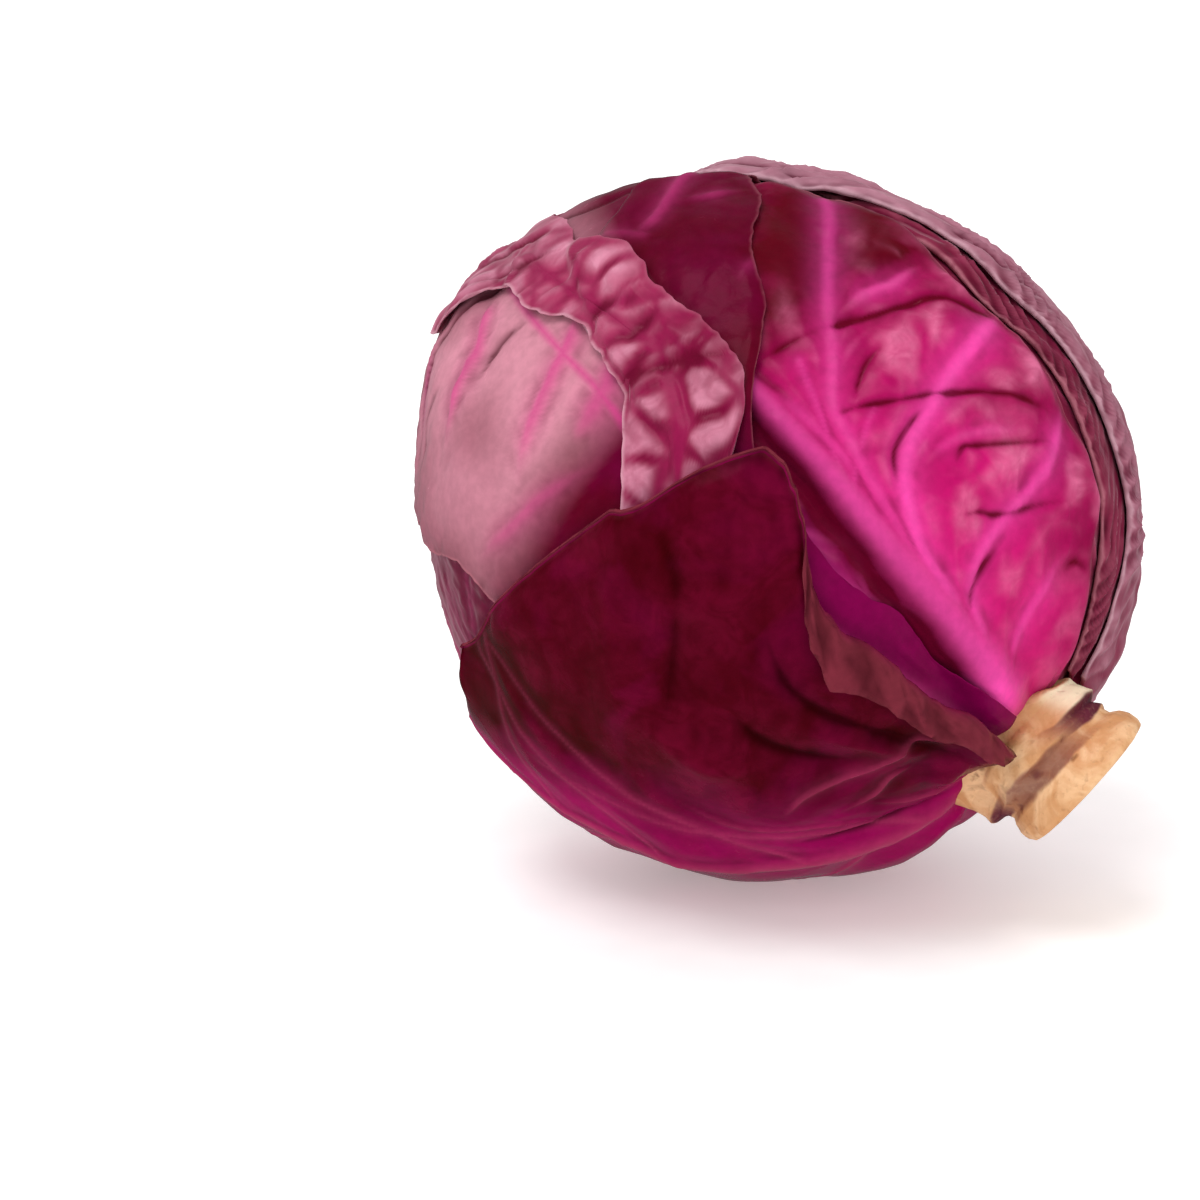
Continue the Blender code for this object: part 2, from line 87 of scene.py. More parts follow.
# The relief of the blades
BLADE_THICKNESS = 0.0007
BORDER_PACKING = 0.22
RIB_TAPER = 0.8
RIB_START = 0.25
RIB_GROWTH = 6.0
BLISTER_COUNT = 1400
BLISTER_SPACING = 0.0076
BLISTER_DISORDER = 0.028
BLISTER_WARP = 0.02
BLISTER_WARP_SIZE = 0.09
BLISTER_FLANK = 0.62
LINE_STEPS = 40
LINE_FADE = 1.1
LINE_END = 0.06
CREASE_CORE = 0.0009
BROAD_LINE = 0.01
BROAD_LINE_PASSES = 120
VEIN_CORE = 1.1
VEIN_GLOW = 3.0
RIB_GLOW = 0.01
RIM_FADE = 12.0
PLEAT_DRIFT_SIZES = (0.024, 0.009)
ARCH_WIDTH = 0.007
TUCK_WIDTH = 0.005
OUTER_TUCK_WIDTH = 0.0018
THIN_WIDTH = 0.004
RIM_WIDTH = 0.0011
CREVICE_PASSES = 30
CREVICE_DEPTH = 0.0005
FOLD_STEP = 0.0006
FOLD_RIDGE_SIZE = 0.0075
FOLD_WRINKLE_SIZE = 0.0034

# How a blade is laid on the head
GAP = 0.0003
DIP = 0.0001
FARTHEST = 0.2
CELL_DEGREES = 1.7
LEAST_COLUMNS = 24
COLUMN_SHARE = 0.8
PROBES = 2
SURFACE_STEP = 2

# The stem
STUMP_CENTRE_OFFSET = 0.0045
STUMP_OFFSET_AZIMUTH = -90.0
CUT_TILT = 0.36

Angles = tuple[tuple[float, float], ...]
Colour = tuple[float, float, float]
Direction = tuple[float, float, float]


class Slot(Enum):
    """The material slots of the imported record."""

    PACKED = "packed_leaves"
    STEM = "cut_stem"
    PLUM = "plum_leaf"
    DUSTY = "dusty_leaf"
    BRIGHT = "bright_leaf"
    WINE = "wine_leaf"
    DARK = "dark_leaf"


def stem_frame() -> tuple[np.ndarray, np.ndarray, np.ndarray]:
    """The head's own axes.

    Returns:
        The stem's direction out of the head, and the directions of azimuth 0 and 90 round it.
    """
    stem = np.array(
        [
            math.cos(STEM_DIP) * math.cos(STEM_HEADING),
            math.cos(STEM_DIP) * math.sin(STEM_HEADING),
            -math.sin(STEM_DIP),
        ]
    )
    front = np.array([0.0, -math.cos(FRONT_RISE), math.sin(FRONT_RISE)])
    zero = front - front.dot(stem) * stem
    zero /= np.linalg.norm(zero)
    return stem, zero, np.cross(stem, zero)


STEM, ZERO, QUARTER = stem_frame()


def directions(reach: np.ndarray, azimuth: np.ndarray) -> np.ndarray:
    """Unit vectors from the head's centre, for angles in degrees."""
    along, turn = np.radians(reach)[..., None], np.radians(azimuth)[..., None]
    return np.cos(along) * STEM + np.sin(along) * (np.cos(turn) * ZERO + np.sin(turn) * QUARTER)


def arc_frame(arc: float) -> tuple[np.ndarray, np.ndarray]:
    """The start of the great circle that leaves the stem at an azimuth, and the direction square to it."""
    start = math.cos(math.radians(arc)) * ZERO + math.sin(math.radians(arc)) * QUARTER
    return start, np.cross(STEM, start)


def arc_directions(reach: np.ndarray, aside: np.ndarray, arc: float) -> np.ndarray:
    """Unit vectors from the head's centre, for angles along a great circle and square to it.

    Args:
        reach: Degrees from the stem, along the circle.
        aside: Degrees off the circle.
        arc: The azimuth at which the circle leaves the stem.

    Returns:
        One vector a place.
    """
    along, off = np.radians(reach)[..., None], np.radians(aside)[..., None]
    start, square = arc_frame(arc)
    return np.cos(off) * (np.cos(along) * STEM + np.sin(along) * start) + np.sin(off) * square


def along_path(at: np.ndarray, path: Angles) -> np.ndarray:
    """A path's value at each place, straight between its points."""
    return np.interp(at, *np.array(path, float).T)


def smooth_step(value: np.ndarray) -> np.ndarray:
    """0 below 0, 1 above 1 and a smooth rise between."""
    share = np.clip(value, 0.0, 1.0)
    return share * share * (3.0 - 2.0 * share)


def lattice_noise(points: np.ndarray, size: float, seed: int) -> np.ndarray:
    """Smooth noise from -1 to 1 over points in space.

    Args:
        points: Places, in metres, with x, y and z last.
        size: The distance over which the noise changes, in metres.
        seed: Which noise.

    Returns:
        One value a place.
    """
    grid = points / size + 100.0 + 17.3 * seed
    cell = np.floor(grid).astype(np.int64)
    share = smooth_step(grid - cell)
    total = np.zeros(points.shape[:-1])
    for corner in range(8):
        step = np.array([corner & 1, corner >> 1 & 1, corner >> 2 & 1])
        at = cell + step
        mixed = (at[..., 0] * 73856093) ^ (at[..., 1] * 19349663)
        mixed = mixed ^ (at[..., 2] * 83492791) ^ (seed * 2654435)
        mixed = (mixed ^ (mixed >> 13)) * 1274126177 & 0xFFFFFFFF
        value = (mixed ^ (mixed >> 16)) % 65536 / 32767.5 - 1.0
        weight = np.prod(np.where(step == 1, share, 1.0 - share), axis=-1)
        total += weight * value
    return total


def line_noise(along: np.ndarray, size: float, seed: int) -> np.ndarray:
    """Smooth noise from -1 to 1 along a line."""
    flat = np.stack([along, np.full_like(along, 0.37 * size), np.full_like(along, 0.71 * size)], axis=-1)
    return lattice_noise(flat, size, seed)


def ridged(value: np.ndarray) -> np.ndarray:
    """Sharp ridges of height 1, one at each whole number."""
    return (1.0 - np.abs(np.sin(np.pi * value))) ** 1.4


def cubic_resample(values: np.ndarray, at: np.ndarray) -> np.ndarray:
    """Values between the rows of a grid, on a smooth curve through them.

    Args:
        values: The grid, row by row.
        at: Row numbers, which need not be whole.

    Returns:
        One row for each number.
    """
    last = len(values) - 1
    lower = np.clip(np.floor(at).astype(int), 0, last - 1)
    share = (at - lower)[:, None]
    before, start = values[np.maximum(lower - 1, 0)], values[lower]
    end, after = values[lower + 1], values[np.minimum(lower + 2, last)]
    slope = end - before
    bend = 2.0 * before - 5.0 * start + 4.0 * end - after
    twist = 3.0 * (start - end) + after - before
    return start + 0.5 * share * (slope + share * (bend + share * twist))


def nearest(tree: KDTree, points: np.ndarray) -> tuple[np.ndarray, np.ndarray]:
    """Finds the nearest sample to each point.

    Args:
        tree: The samples.
        points: The points, with x, y and z last.

    Returns:
        The sample's number and how far it is, point by point.
    """
    found = [tree.find(point) for point in points.reshape(-1, 3).tolist()]
    index = np.array([item[1] for item in found]).reshape(points.shape[:-1])
    return index, np.array([item[2] for item in found]).reshape(points.shape[:-1])


def plant_tree(samples: np.ndarray) -> KDTree:
    """Makes a search tree.

    Args:
        samples: Rows of x, y and z.

    Returns:
        The tree, which gives the number of a row.
    """
    tree = KDTree(len(samples))
    for number, sample in enumerate(samples.tolist()):
        tree.insert(sample, number)
    tree.balance()
    return tree


class NodeBench:
    """Builds a material's nodes and joins them."""

    def __init__(self, material: bpy.types.Material) -> None:
        """Empties a material's node tree.

        Args:
            material: The material to build in.
        """
        material.use_nodes = True
        self.tree = material.node_tree
        self.tree.nodes.clear()
        self.place = self.add("ShaderNodeTexCoord").outputs["Object"]

    def add(self, kind: str, **settings: object) -> bpy.types.Node:
        """Adds a node.

        Args:
            kind: Which node.
            **settings: The node's own settings, by name.

        Returns:
            The node.
        """
        node = self.tree.nodes.new(kind)
        for name, value in settings.items():
            setattr(node, name, value)
        return node

    def plug(self, socket: bpy.types.NodeSocket, value: object) -> None:
        """Joins an output to a socket, or sets the socket's own value.

        Args:
            socket: The socket.
            value: An output of another node, a number, or a colour or vector.
        """
        if isinstance(value, bpy.types.NodeSocket):
            self.tree.links.new(value, socket)
        elif isinstance(value, tuple):
            socket.default_value = (*value, 1.0) if len(value) == 3 and socket.type == "RGBA" else value
        else:
            socket.default_value = value

    def attribute(self, name: str) -> bpy.types.NodeSocket:
        """A number that the mesh keeps for each of its points."""
        return self.add("ShaderNodeAttribute", attribute_name=name).outputs["Fac"]

    def math(
        self, operation: str, first: object, second: object = 0.0, clamp: bool = False
    ) -> bpy.types.NodeSocket:
        """One step of arithmetic.

        Args:
            operation: Which step.
            first: A number or an output.
            second: Another.
            clamp: Whether the result is kept from 0 to 1.

        Returns:
            The result's output.
        """
        node = self.add("ShaderNodeMath", operation=operation, use_clamp=clamp)
        self.plug(node.inputs[0], first)
        self.plug(node.inputs[1], second)
        return node.outputs[0]

    def scaled(
        self, value: object, low: float, high: float, to_low: float, to_high: float
    ) -> bpy.types.NodeSocket:
        """A number moved smoothly from one range to another.

        Args:
            value: The number's output.
            low: The start of its range.
            high: The end of its range.
            to_low: What the start becomes.
            to_high: What the end becomes.

        Returns:
            The result's output.
        """
        node = self.add("ShaderNodeMapRange", interpolation_type="SMOOTHSTEP")
        for socket, number in zip(node.inputs, (value, low, high, to_low, to_high)):
            self.plug(socket, number)
        return node.outputs[0]

    def mix(self, share: object, first: object, second: object, blend: str = "MIX") -> bpy.types.NodeSocket:
        """Two colours mixed.

        Args:
            share: How much of the second, from 0 to 1.
            first: A colour or an output.
            second: Another.
            blend: How they mix.

        Returns:
            The mixed colour's output.
        """
        node = self.add("ShaderNodeMix", data_type="RGBA", blend_type=blend)
        self.plug(node.inputs[0], share)
        self.plug(node.inputs[6], first)
        self.plug(node.inputs[7], second)
        return node.outputs[2]

    def noise(self, scale: float, detail: float = 3.0, distortion: float = 0.0) -> bpy.types.NodeSocket:
        """Cloudy noise.

        Args:
            scale: Cycles a metre.
            detail: How many finer layers it has.
            distortion: How far it is warped.

        Returns:
            The noise's output, from 0 to 1.
        """
        node = self.add("ShaderNodeTexNoise")
        self.plug(node.inputs["Vector"], self.place)
        node.inputs["Scale"].default_value = scale
        node.inputs["Detail"].default_value = detail
        node.inputs["Distortion"].default_value = distortion
        return node.outputs["Fac"]

    def cells(
        self, scale: float, feature: str = "DISTANCE_TO_EDGE", warp: float = 0.0
    ) -> bpy.types.NodeSocket:
        """A net of cells.

        Args:
            scale: Cells a metre.
            feature: What is measured in each cell.
            warp: How far the net is warped, in cells.

        Returns:
            The distance's output.
        """
        place = self.place
        if warp:
            shift = self.add("ShaderNodeTexNoise")
            self.plug(shift.inputs["Vector"], self.place)
            shift.inputs["Scale"].default_value = scale * 0.6
            mover = self.add("ShaderNodeVectorMath", operation="MULTIPLY_ADD")
            self.plug(mover.inputs[0], shift.outputs["Color"])
            mover.inputs[1].default_value = (warp / scale,) * 3
            self.plug(mover.inputs[2], self.place)
            place = mover.outputs[0]
        node = self.add("ShaderNodeTexVoronoi", feature=feature)
        self.plug(node.inputs["Vector"], place)
        node.inputs["Scale"].default_value = scale
        return node.outputs["Distance"]

    def bump(
        self, height: object, depth: float, strength: float, normal: object = None
    ) -> bpy.types.NodeSocket:
        """Fine relief.

        Args:
            height: The relief's output.
            depth: Its depth, in metres.
            strength: How much of it shows.
            normal: Coarser relief that it lies on.

        Returns:
            The output for a surface's normal.
        """
        node = self.add("ShaderNodeBump")
        node.inputs["Distance"].default_value = depth
        node.inputs["Strength"].default_value = strength
        self.plug(node.inputs["Height"], height)
        if normal is not None:
            self.plug(node.inputs["Normal"], normal)
        return node.outputs[0]

    def surface(self, **sockets: object) -> bpy.types.Node:
        """Ends the material with its surface.

        Args:
            **sockets: What goes into each socket, whose name has underscores in place of spaces.

        Returns:
            The surface's node.
        """
        shader = self.add("ShaderNodeBsdfPrincipled")
        for name, value in sockets.items():
            self.plug(shader.inputs[name.replace("_", " ")], value)
        output = self.add("ShaderNodeOutputMaterial")
        self.tree.links.new(shader.outputs[0], output.inputs["Surface"])
        return shader


@dataclass(frozen=True)
class LeafFinish:
    """A waxy leaf skin: a dark blade, pink near the ribs, with pale bloom and painted highlight, light veins,
    painted crease shade and painted edge-on sheen.
    """

    name: str
    deep: Colour
    glow: Colour
    # The pale bloom, which on raised parts also stands for painted highlight.
    bloom_and_highlight: Colour
    vein: Colour
    # The colour of the painted shade in creases, wrinkles and hollows.
    crease_shade: Colour
    rim: Colour
    tint: Colour
    bloom_and_highlight_strength: float = 0.6
    vein_strength: float = 0.8
    crease_shade_strength: float = 0.8
    rim_strength: float = 0.8
    roughness: tuple[float, float] = (0.3, 0.5)
    # A painted sheen towards a pale colour where the surface is seen edge-on, and how strong it is.
    painted_sheen_colour: Colour = (0.62, 0.33, 0.4)
    painted_sheen: float = 0.45
    coat: float = 0.03
    coat_roughness: float = 0.2
    specular: float = 0.16

    def material(self) -> bpy.types.Material:
        """The skin's nodes.

        Returns:
            The material.
        """
        skin = bpy.data.materials.new(self.name)
        bench = NodeBench(skin)
        cloud = bench.noise(38.0, 4.0, 0.6)
        fine = bench.noise(420.0, 4.0)
        streak = bench.noise(130.0, 3.0, 1.5)
        clouded = bench.scaled(cloud, 0.25, 0.75, -0.22, 0.22)
        # The tone goes from deep to bright; on the bottom leaf it also holds painted shadow and painted floor
        # light.
        tone = bench.math("ADD", bench.attribute("tone"), clouded, clamp=True)
        colour = bench.mix(tone, self.deep, self.glow)
        # The tint; on the front leaf's narrow blade it is painted shade, and on the top leaf it is partly
        # painted sheen.
        colour = bench.mix(bench.attribute("tint"), colour, self.tint)
        # Pale bloom on the raised parts, partly waxy bloom and partly painted highlight.
        rise = bench.attribute("rise")
        patchy = bench.math("MULTIPLY", rise, bench.scaled(streak, 0.3, 0.66, 0.55, 1.0))
        bloom_and_highlight_share = bench.math("MULTIPLY", patchy, self.bloom_and_highlight_strength, clamp=True)
        colour = bench.mix(bloom_and_highlight_share, colour, self.bloom_and_highlight)
        veined = bench.math("MULTIPLY", bench.attribute("vein"), bench.scaled(cloud, 0.2, 0.6, 0.85, 1.0))
        colour = bench.mix(bench.math("MULTIPLY", veined, self.vein_strength, clamp=True), colour, self.vein)
        # Painted shade: creases, wrinkles and hollows darken towards the shade colour.
        crease_shade_share = bench.math("MULTIPLY", bench.attribute("crease_shade"), self.crease_shade_strength, clamp=True)
        colour = bench.mix(crease_shade_share, colour, self.crease_shade)
        rimmed = bench.math("MULTIPLY", bench.attribute("rim"), bench.scaled(streak, 0.3, 0.6, 0.4, 1.0))
        colour = bench.mix(bench.math("MULTIPLY", rimmed, self.rim_strength, clamp=True), colour, self.rim)
        # Painted sheen: the colour turns pale where the surface is seen edge-on.
        weight = bench.add("ShaderNodeLayerWeight")
        weight.inputs["Blend"].default_value = 0.5
        grazing = bench.scaled(weight.outputs["Facing"], 0.62, 1.0, 0.0, self.painted_sheen)
        colour = bench.mix(grazing, colour, self.painted_sheen_colour)
        mottle = bench.scaled(fine, 0.25, 0.75, 0.9, 1.08)
        grey = bench.add("ShaderNodeCombineColor")
        for socket in grey.inputs:
            bench.plug(socket, mottle)
        colour = bench.mix(0.8, colour, grey.outputs[0], "MULTIPLY")
        dry = bench.math("ADD", bloom_and_highlight_share, bench.math("MULTIPLY", fine, 0.3))
        normal = bench.bump(bench.cells(330.0, warp=0.7), 0.0004, 0.12)
        normal = bench.bump(bench.noise(900.0, 5.0), 0.0003, 0.1, normal)
        bench.surface(
            Base_Color=colour,
            Roughness=bench.scaled(dry, 0.0, 1.0, *self.roughness),
            Normal=normal,
            Specular_IOR_Level=self.specular,
            Coat_Weight=self.coat,
            Coat_Roughness=self.coat_roughness,
            Specular_Tint=(1.0, 0.35, 0.5),
        )
        return skin


FRONT_SKIN = LeafFinish(
    name="front_leaf_skin",
    deep=(0.105, 0.0003, 0.007),
    glow=(0.56, 0.006, 0.145),
    bloom_and_highlight=(0.8, 0.19, 0.36),
    vein=(1.0, 0.085, 0.46),
    crease_shade=(0.11, 0.0002, 0.008),
    rim=(0.5, 0.12, 0.18),
    # The violet of the narrow blade, painted as its shade.
    tint=(0.4, 0.0015, 0.2),
    bloom_and_highlight_strength=0.85,
    vein_strength=0.95,
    crease_shade_strength=0.95,
    specular=0.07,
    painted_sheen=0.0,
)
UPPER_SKIN = LeafFinish(
    name="upper_leaf_skin",
    deep=(0.1, 0.0005, 0.011),
    glow=(0.2, 0.0008, 0.062),
    bloom_and_highlight=(0.24, 0.03, 0.07),
    vein=(0.6, 0.05, 0.23),
    crease_shade=(0.07, 0.0, 0.008),
    rim=(0.45, 0.14, 0.18),
    tint=(0.66, 0.27, 0.35),
    bloom_and_highlight_strength=0.05,
    roughness=(0.25, 0.42),
    specular=0.08,
    coat=0.0,
    painted_sheen=0.0,
)
TORN_SKIN = LeafFinish(
    name="torn_leaf_skin",
    deep=(0.2, 0.004, 0.038),
    glow=(0.4, 0.05, 0.125),
    bloom_and_highlight=(0.66, 0.25, 0.36),
    vein=(0.27, 0.003, 0.06),
    crease_shade=(0.11, 0.0004, 0.014),
    rim=(0.65, 0.32, 0.4),
    tint=(0.25, 0.01, 0.1),
    bloom_and_highlight_strength=1.15,
    roughness=(0.32, 0.5),
)
BOTTOM_SKIN = LeafFinish(
    name="bottom_leaf_skin",
    deep=(0.045, 0.0002, 0.001),
    glow=(0.3, 0.001, 0.085),
    bloom_and_highlight=(0.24, 0.004, 0.04),
    # Pale veins, which also serve as thin painted highlights along the fine ridges.
    vein=(0.45, 0.05, 0.13),
    crease_shade=(0.016, 0.0, 0.0004),
    rim=(0.34, 0.06, 0.08),
    tint=(0.17, 0.024, 0.037),
    bloom_and_highlight_strength=0.35,
    vein_strength=0.6,
    rim_strength=0.08,
    roughness=(0.22, 0.4),
    coat=0.0,
    specular=0.04,
    painted_sheen=0.0,
)
TOP_SKIN = LeafFinish(
    name="top_leaf_skin",
    deep=(0.14, 0.006, 0.028),
    glow=(0.26, 0.02, 0.07),
    bloom_and_highlight=(0.5, 0.23, 0.3),
    vein=(0.5, 0.12, 0.2),
    crease_shade=(0.09, 0.004, 0.02),
    rim=(0.65, 0.38, 0.45),
    # A pale colour that is partly painted sheen along the top of the head.
    tint=(0.52, 0.27, 0.34),
    bloom_and_highlight_strength=0.7,
    roughness=(0.32, 0.5),
)
RIGHT_SKIN = LeafFinish(
    name="right_leaf_skin",
    deep=(0.1, 0.003, 0.017),
    glow=(0.22, 0.008, 0.045),
    bloom_and_highlight=(0.34, 0.065, 0.115),
    vein=(0.42, 0.06, 0.14),
    crease_shade=(0.03, 0.0, 0.003),
    rim=(0.5, 0.17, 0.22),
    tint=(0.36, 0.01, 0.12),
    bloom_and_highlight_strength=0.75,
)
PLUM_SKIN = LeafFinish(
    name="plum_leaf_skin",
    deep=(0.09, 0.001, 0.016),
    glow=(0.2, 0.003, 0.045),
    bloom_and_highlight=(0.3, 0.06, 0.11),
    vein=(0.42, 0.04, 0.15),
    crease_shade=(0.03, 0.0, 0.004),
    rim=(0.45, 0.16, 0.22),
    tint=(0.16, 0.001, 0.08),
)


@dataclass(frozen=True)
class Fold:
    """A margin that turns outwards and lies back over its own blade."""

    radius: float
    columns: int
    widths: Angles
    bend: float = 0.6
    least_turn: float = 0.35
    full_turn: float = 0.002
    ridge_height: float = 0.0019
    wrinkle_height: float = 0.0008
    wrinkled_from: float = 0.004

    def columns_of(self, points: np.ndarray, rays: np.ndarray, reach: np.ndarray) -> tuple[np.ndarray, ...]:
        """Columns past the first border, from the free edge inwards.

        Args:
            points: The blade's inner face.
            rays: The blade's directions from the centre.
            reach: The reach of the border's points.

        Returns:
            The margin's points, which way its outer face looks, and how deep each is in a wrinkle.
        """
        border, ray = points[:, 0], rays[:, 0]
        across = border - points[:, 4]
        across -= np.sum(across * ray, axis=1, keepdims=True) * ray
        across /= np.linalg.norm(across, axis=1, keepdims=True)
        width = along_path(reach, self.widths)[:, None]
        turn = math.pi * np.clip(self.least_turn + (1 - self.least_turn) * width / self.full_turn, 0.0, 1.0)
        made, facing, depth = [], [], []
        for column in range(self.columns, 0, -1):
            share = column / self.columns
            angle = turn * min(1.0, share / self.bend)
            back = width * max(0.0, (share - self.bend) / (1.0 - self.bend))
            spot = border + across * (column * FOLD_STEP)
            ridge = (1.0 - np.abs(lattice_noise(spot, FOLD_RIDGE_SIZE, 31))) ** 2.5
            small = np.abs(lattice_noise(spot, FOLD_WRINKLE_SIZE, 32))
            depth.append(smooth_step((0.45 - ridge) / 0.45) * 0.75 + 0.4 * smooth_step((0.25 - small) / 0.25))
            crumple = (self.ridge_height * ridge + self.wrinkle_height * small)[:, None]
            crumple = crumple * smooth_step(width / self.wrinkled_from) * smooth_step(share * 1.5)
            lift = self.radius * (1.0 - np.cos(angle)) + crumple
            made.append(border + across * (self.radius * np.sin(angle) - back) + ray * lift)
            facing.append(ray * np.cos(angle) - across * np.sin(angle))
        return np.stack(made, axis=1), np.stack(facing, axis=1), np.clip(np.stack(depth, axis=1), 0.0, 1.0)

    def marks(self, wrinkle: np.ndarray) -> dict[str, np.ndarray]:
        """The numbers that the skin reads on the turned margin.

        Args:
            wrinkle: How deep each point is in a wrinkle.

        Returns:
            For each name, a value from 0 to 1 at each point.
        """
        level = np.ones_like(wrinkle)
        return {
            "tone": 0.5 * level,
            "tint": level * smooth_step(np.linspace(1.6, 0.0, self.columns)),
            "vein": 0.0 * level,
            "rise": 0.3 * level,
            # Painted shade in the wrinkles of the turned margin.
            "crease_shade": 0.7 * wrinkle,
            "rim": level * (np.arange(self.columns) < 2),
        }


@dataclass(frozen=True)
class Line:
    """A vein, a crease or a puff along a path of angles.

    It has a width, a height or depth, and a strength of colour. A crease of negative depth stands up.
    """

    path: Angles
    width: float
    height: float
    strength: float = 1.0


@dataclass(frozen=True)
class VeinPlan:
    """How a leaf's side veins grow from its midrib, towards the first border, the last or both.

    They start and end some degrees from the base and the tip. Each is staggered against the one across the
    midrib, by a share of the spacing, and is uneven in place and angle by some degrees.
    """

    spacing: float = 9.0
    first: bool = True
    last: bool = True
    start: float = 8.0
    end: float = 12.0
    stagger: float = 0.45
    uneven: float = 1.5
    angle: float = 40.0
    uneven_angle: float = 5.0
    bend: float = -10.0
    wander: float = 0.54
    steadiness: float = 0.85
    length: float = 0.095
    width: float = 0.0009
    height: float = 0.0006
    strength: float = 0.9
    narrowing: float = 0.65
    forks: int = 2
    fork_turn: tuple[float, float] = (26.0, 42.0)
    fork_width: float = 0.6
    fork_length: float = 0.7
    step: float = 0.0012


@dataclass(frozen=True)
class Relief:
    """The forms of a blade that stand off the leaves under it, as heights and sizes in metres."""

    pillow: float = 0.0009
    pillow_reach: float = 0.007
    blister: float = 0.0004
    blister_size: float = 0.0085
    swell: float = 0.0008
    swell_size: float = 0.03
    crumple: float = 0.0003
    crumple_size: float = 0.009
    pleat: tuple[float, float] = (0.0, 0.0)
    pleat_size: float = 0.005
    net: float = 0.12
    side_lift: tuple[float, float] = (0.0, 0.0)
    ruffle_size: float = 0.011
    ruffle_depth: float = 0.012
    # How raised a point must be before its pale bloom and painted highlight start.
    bloom_and_highlight_from: float = 0.35
    calm: Angles = ((0, 1.0),)


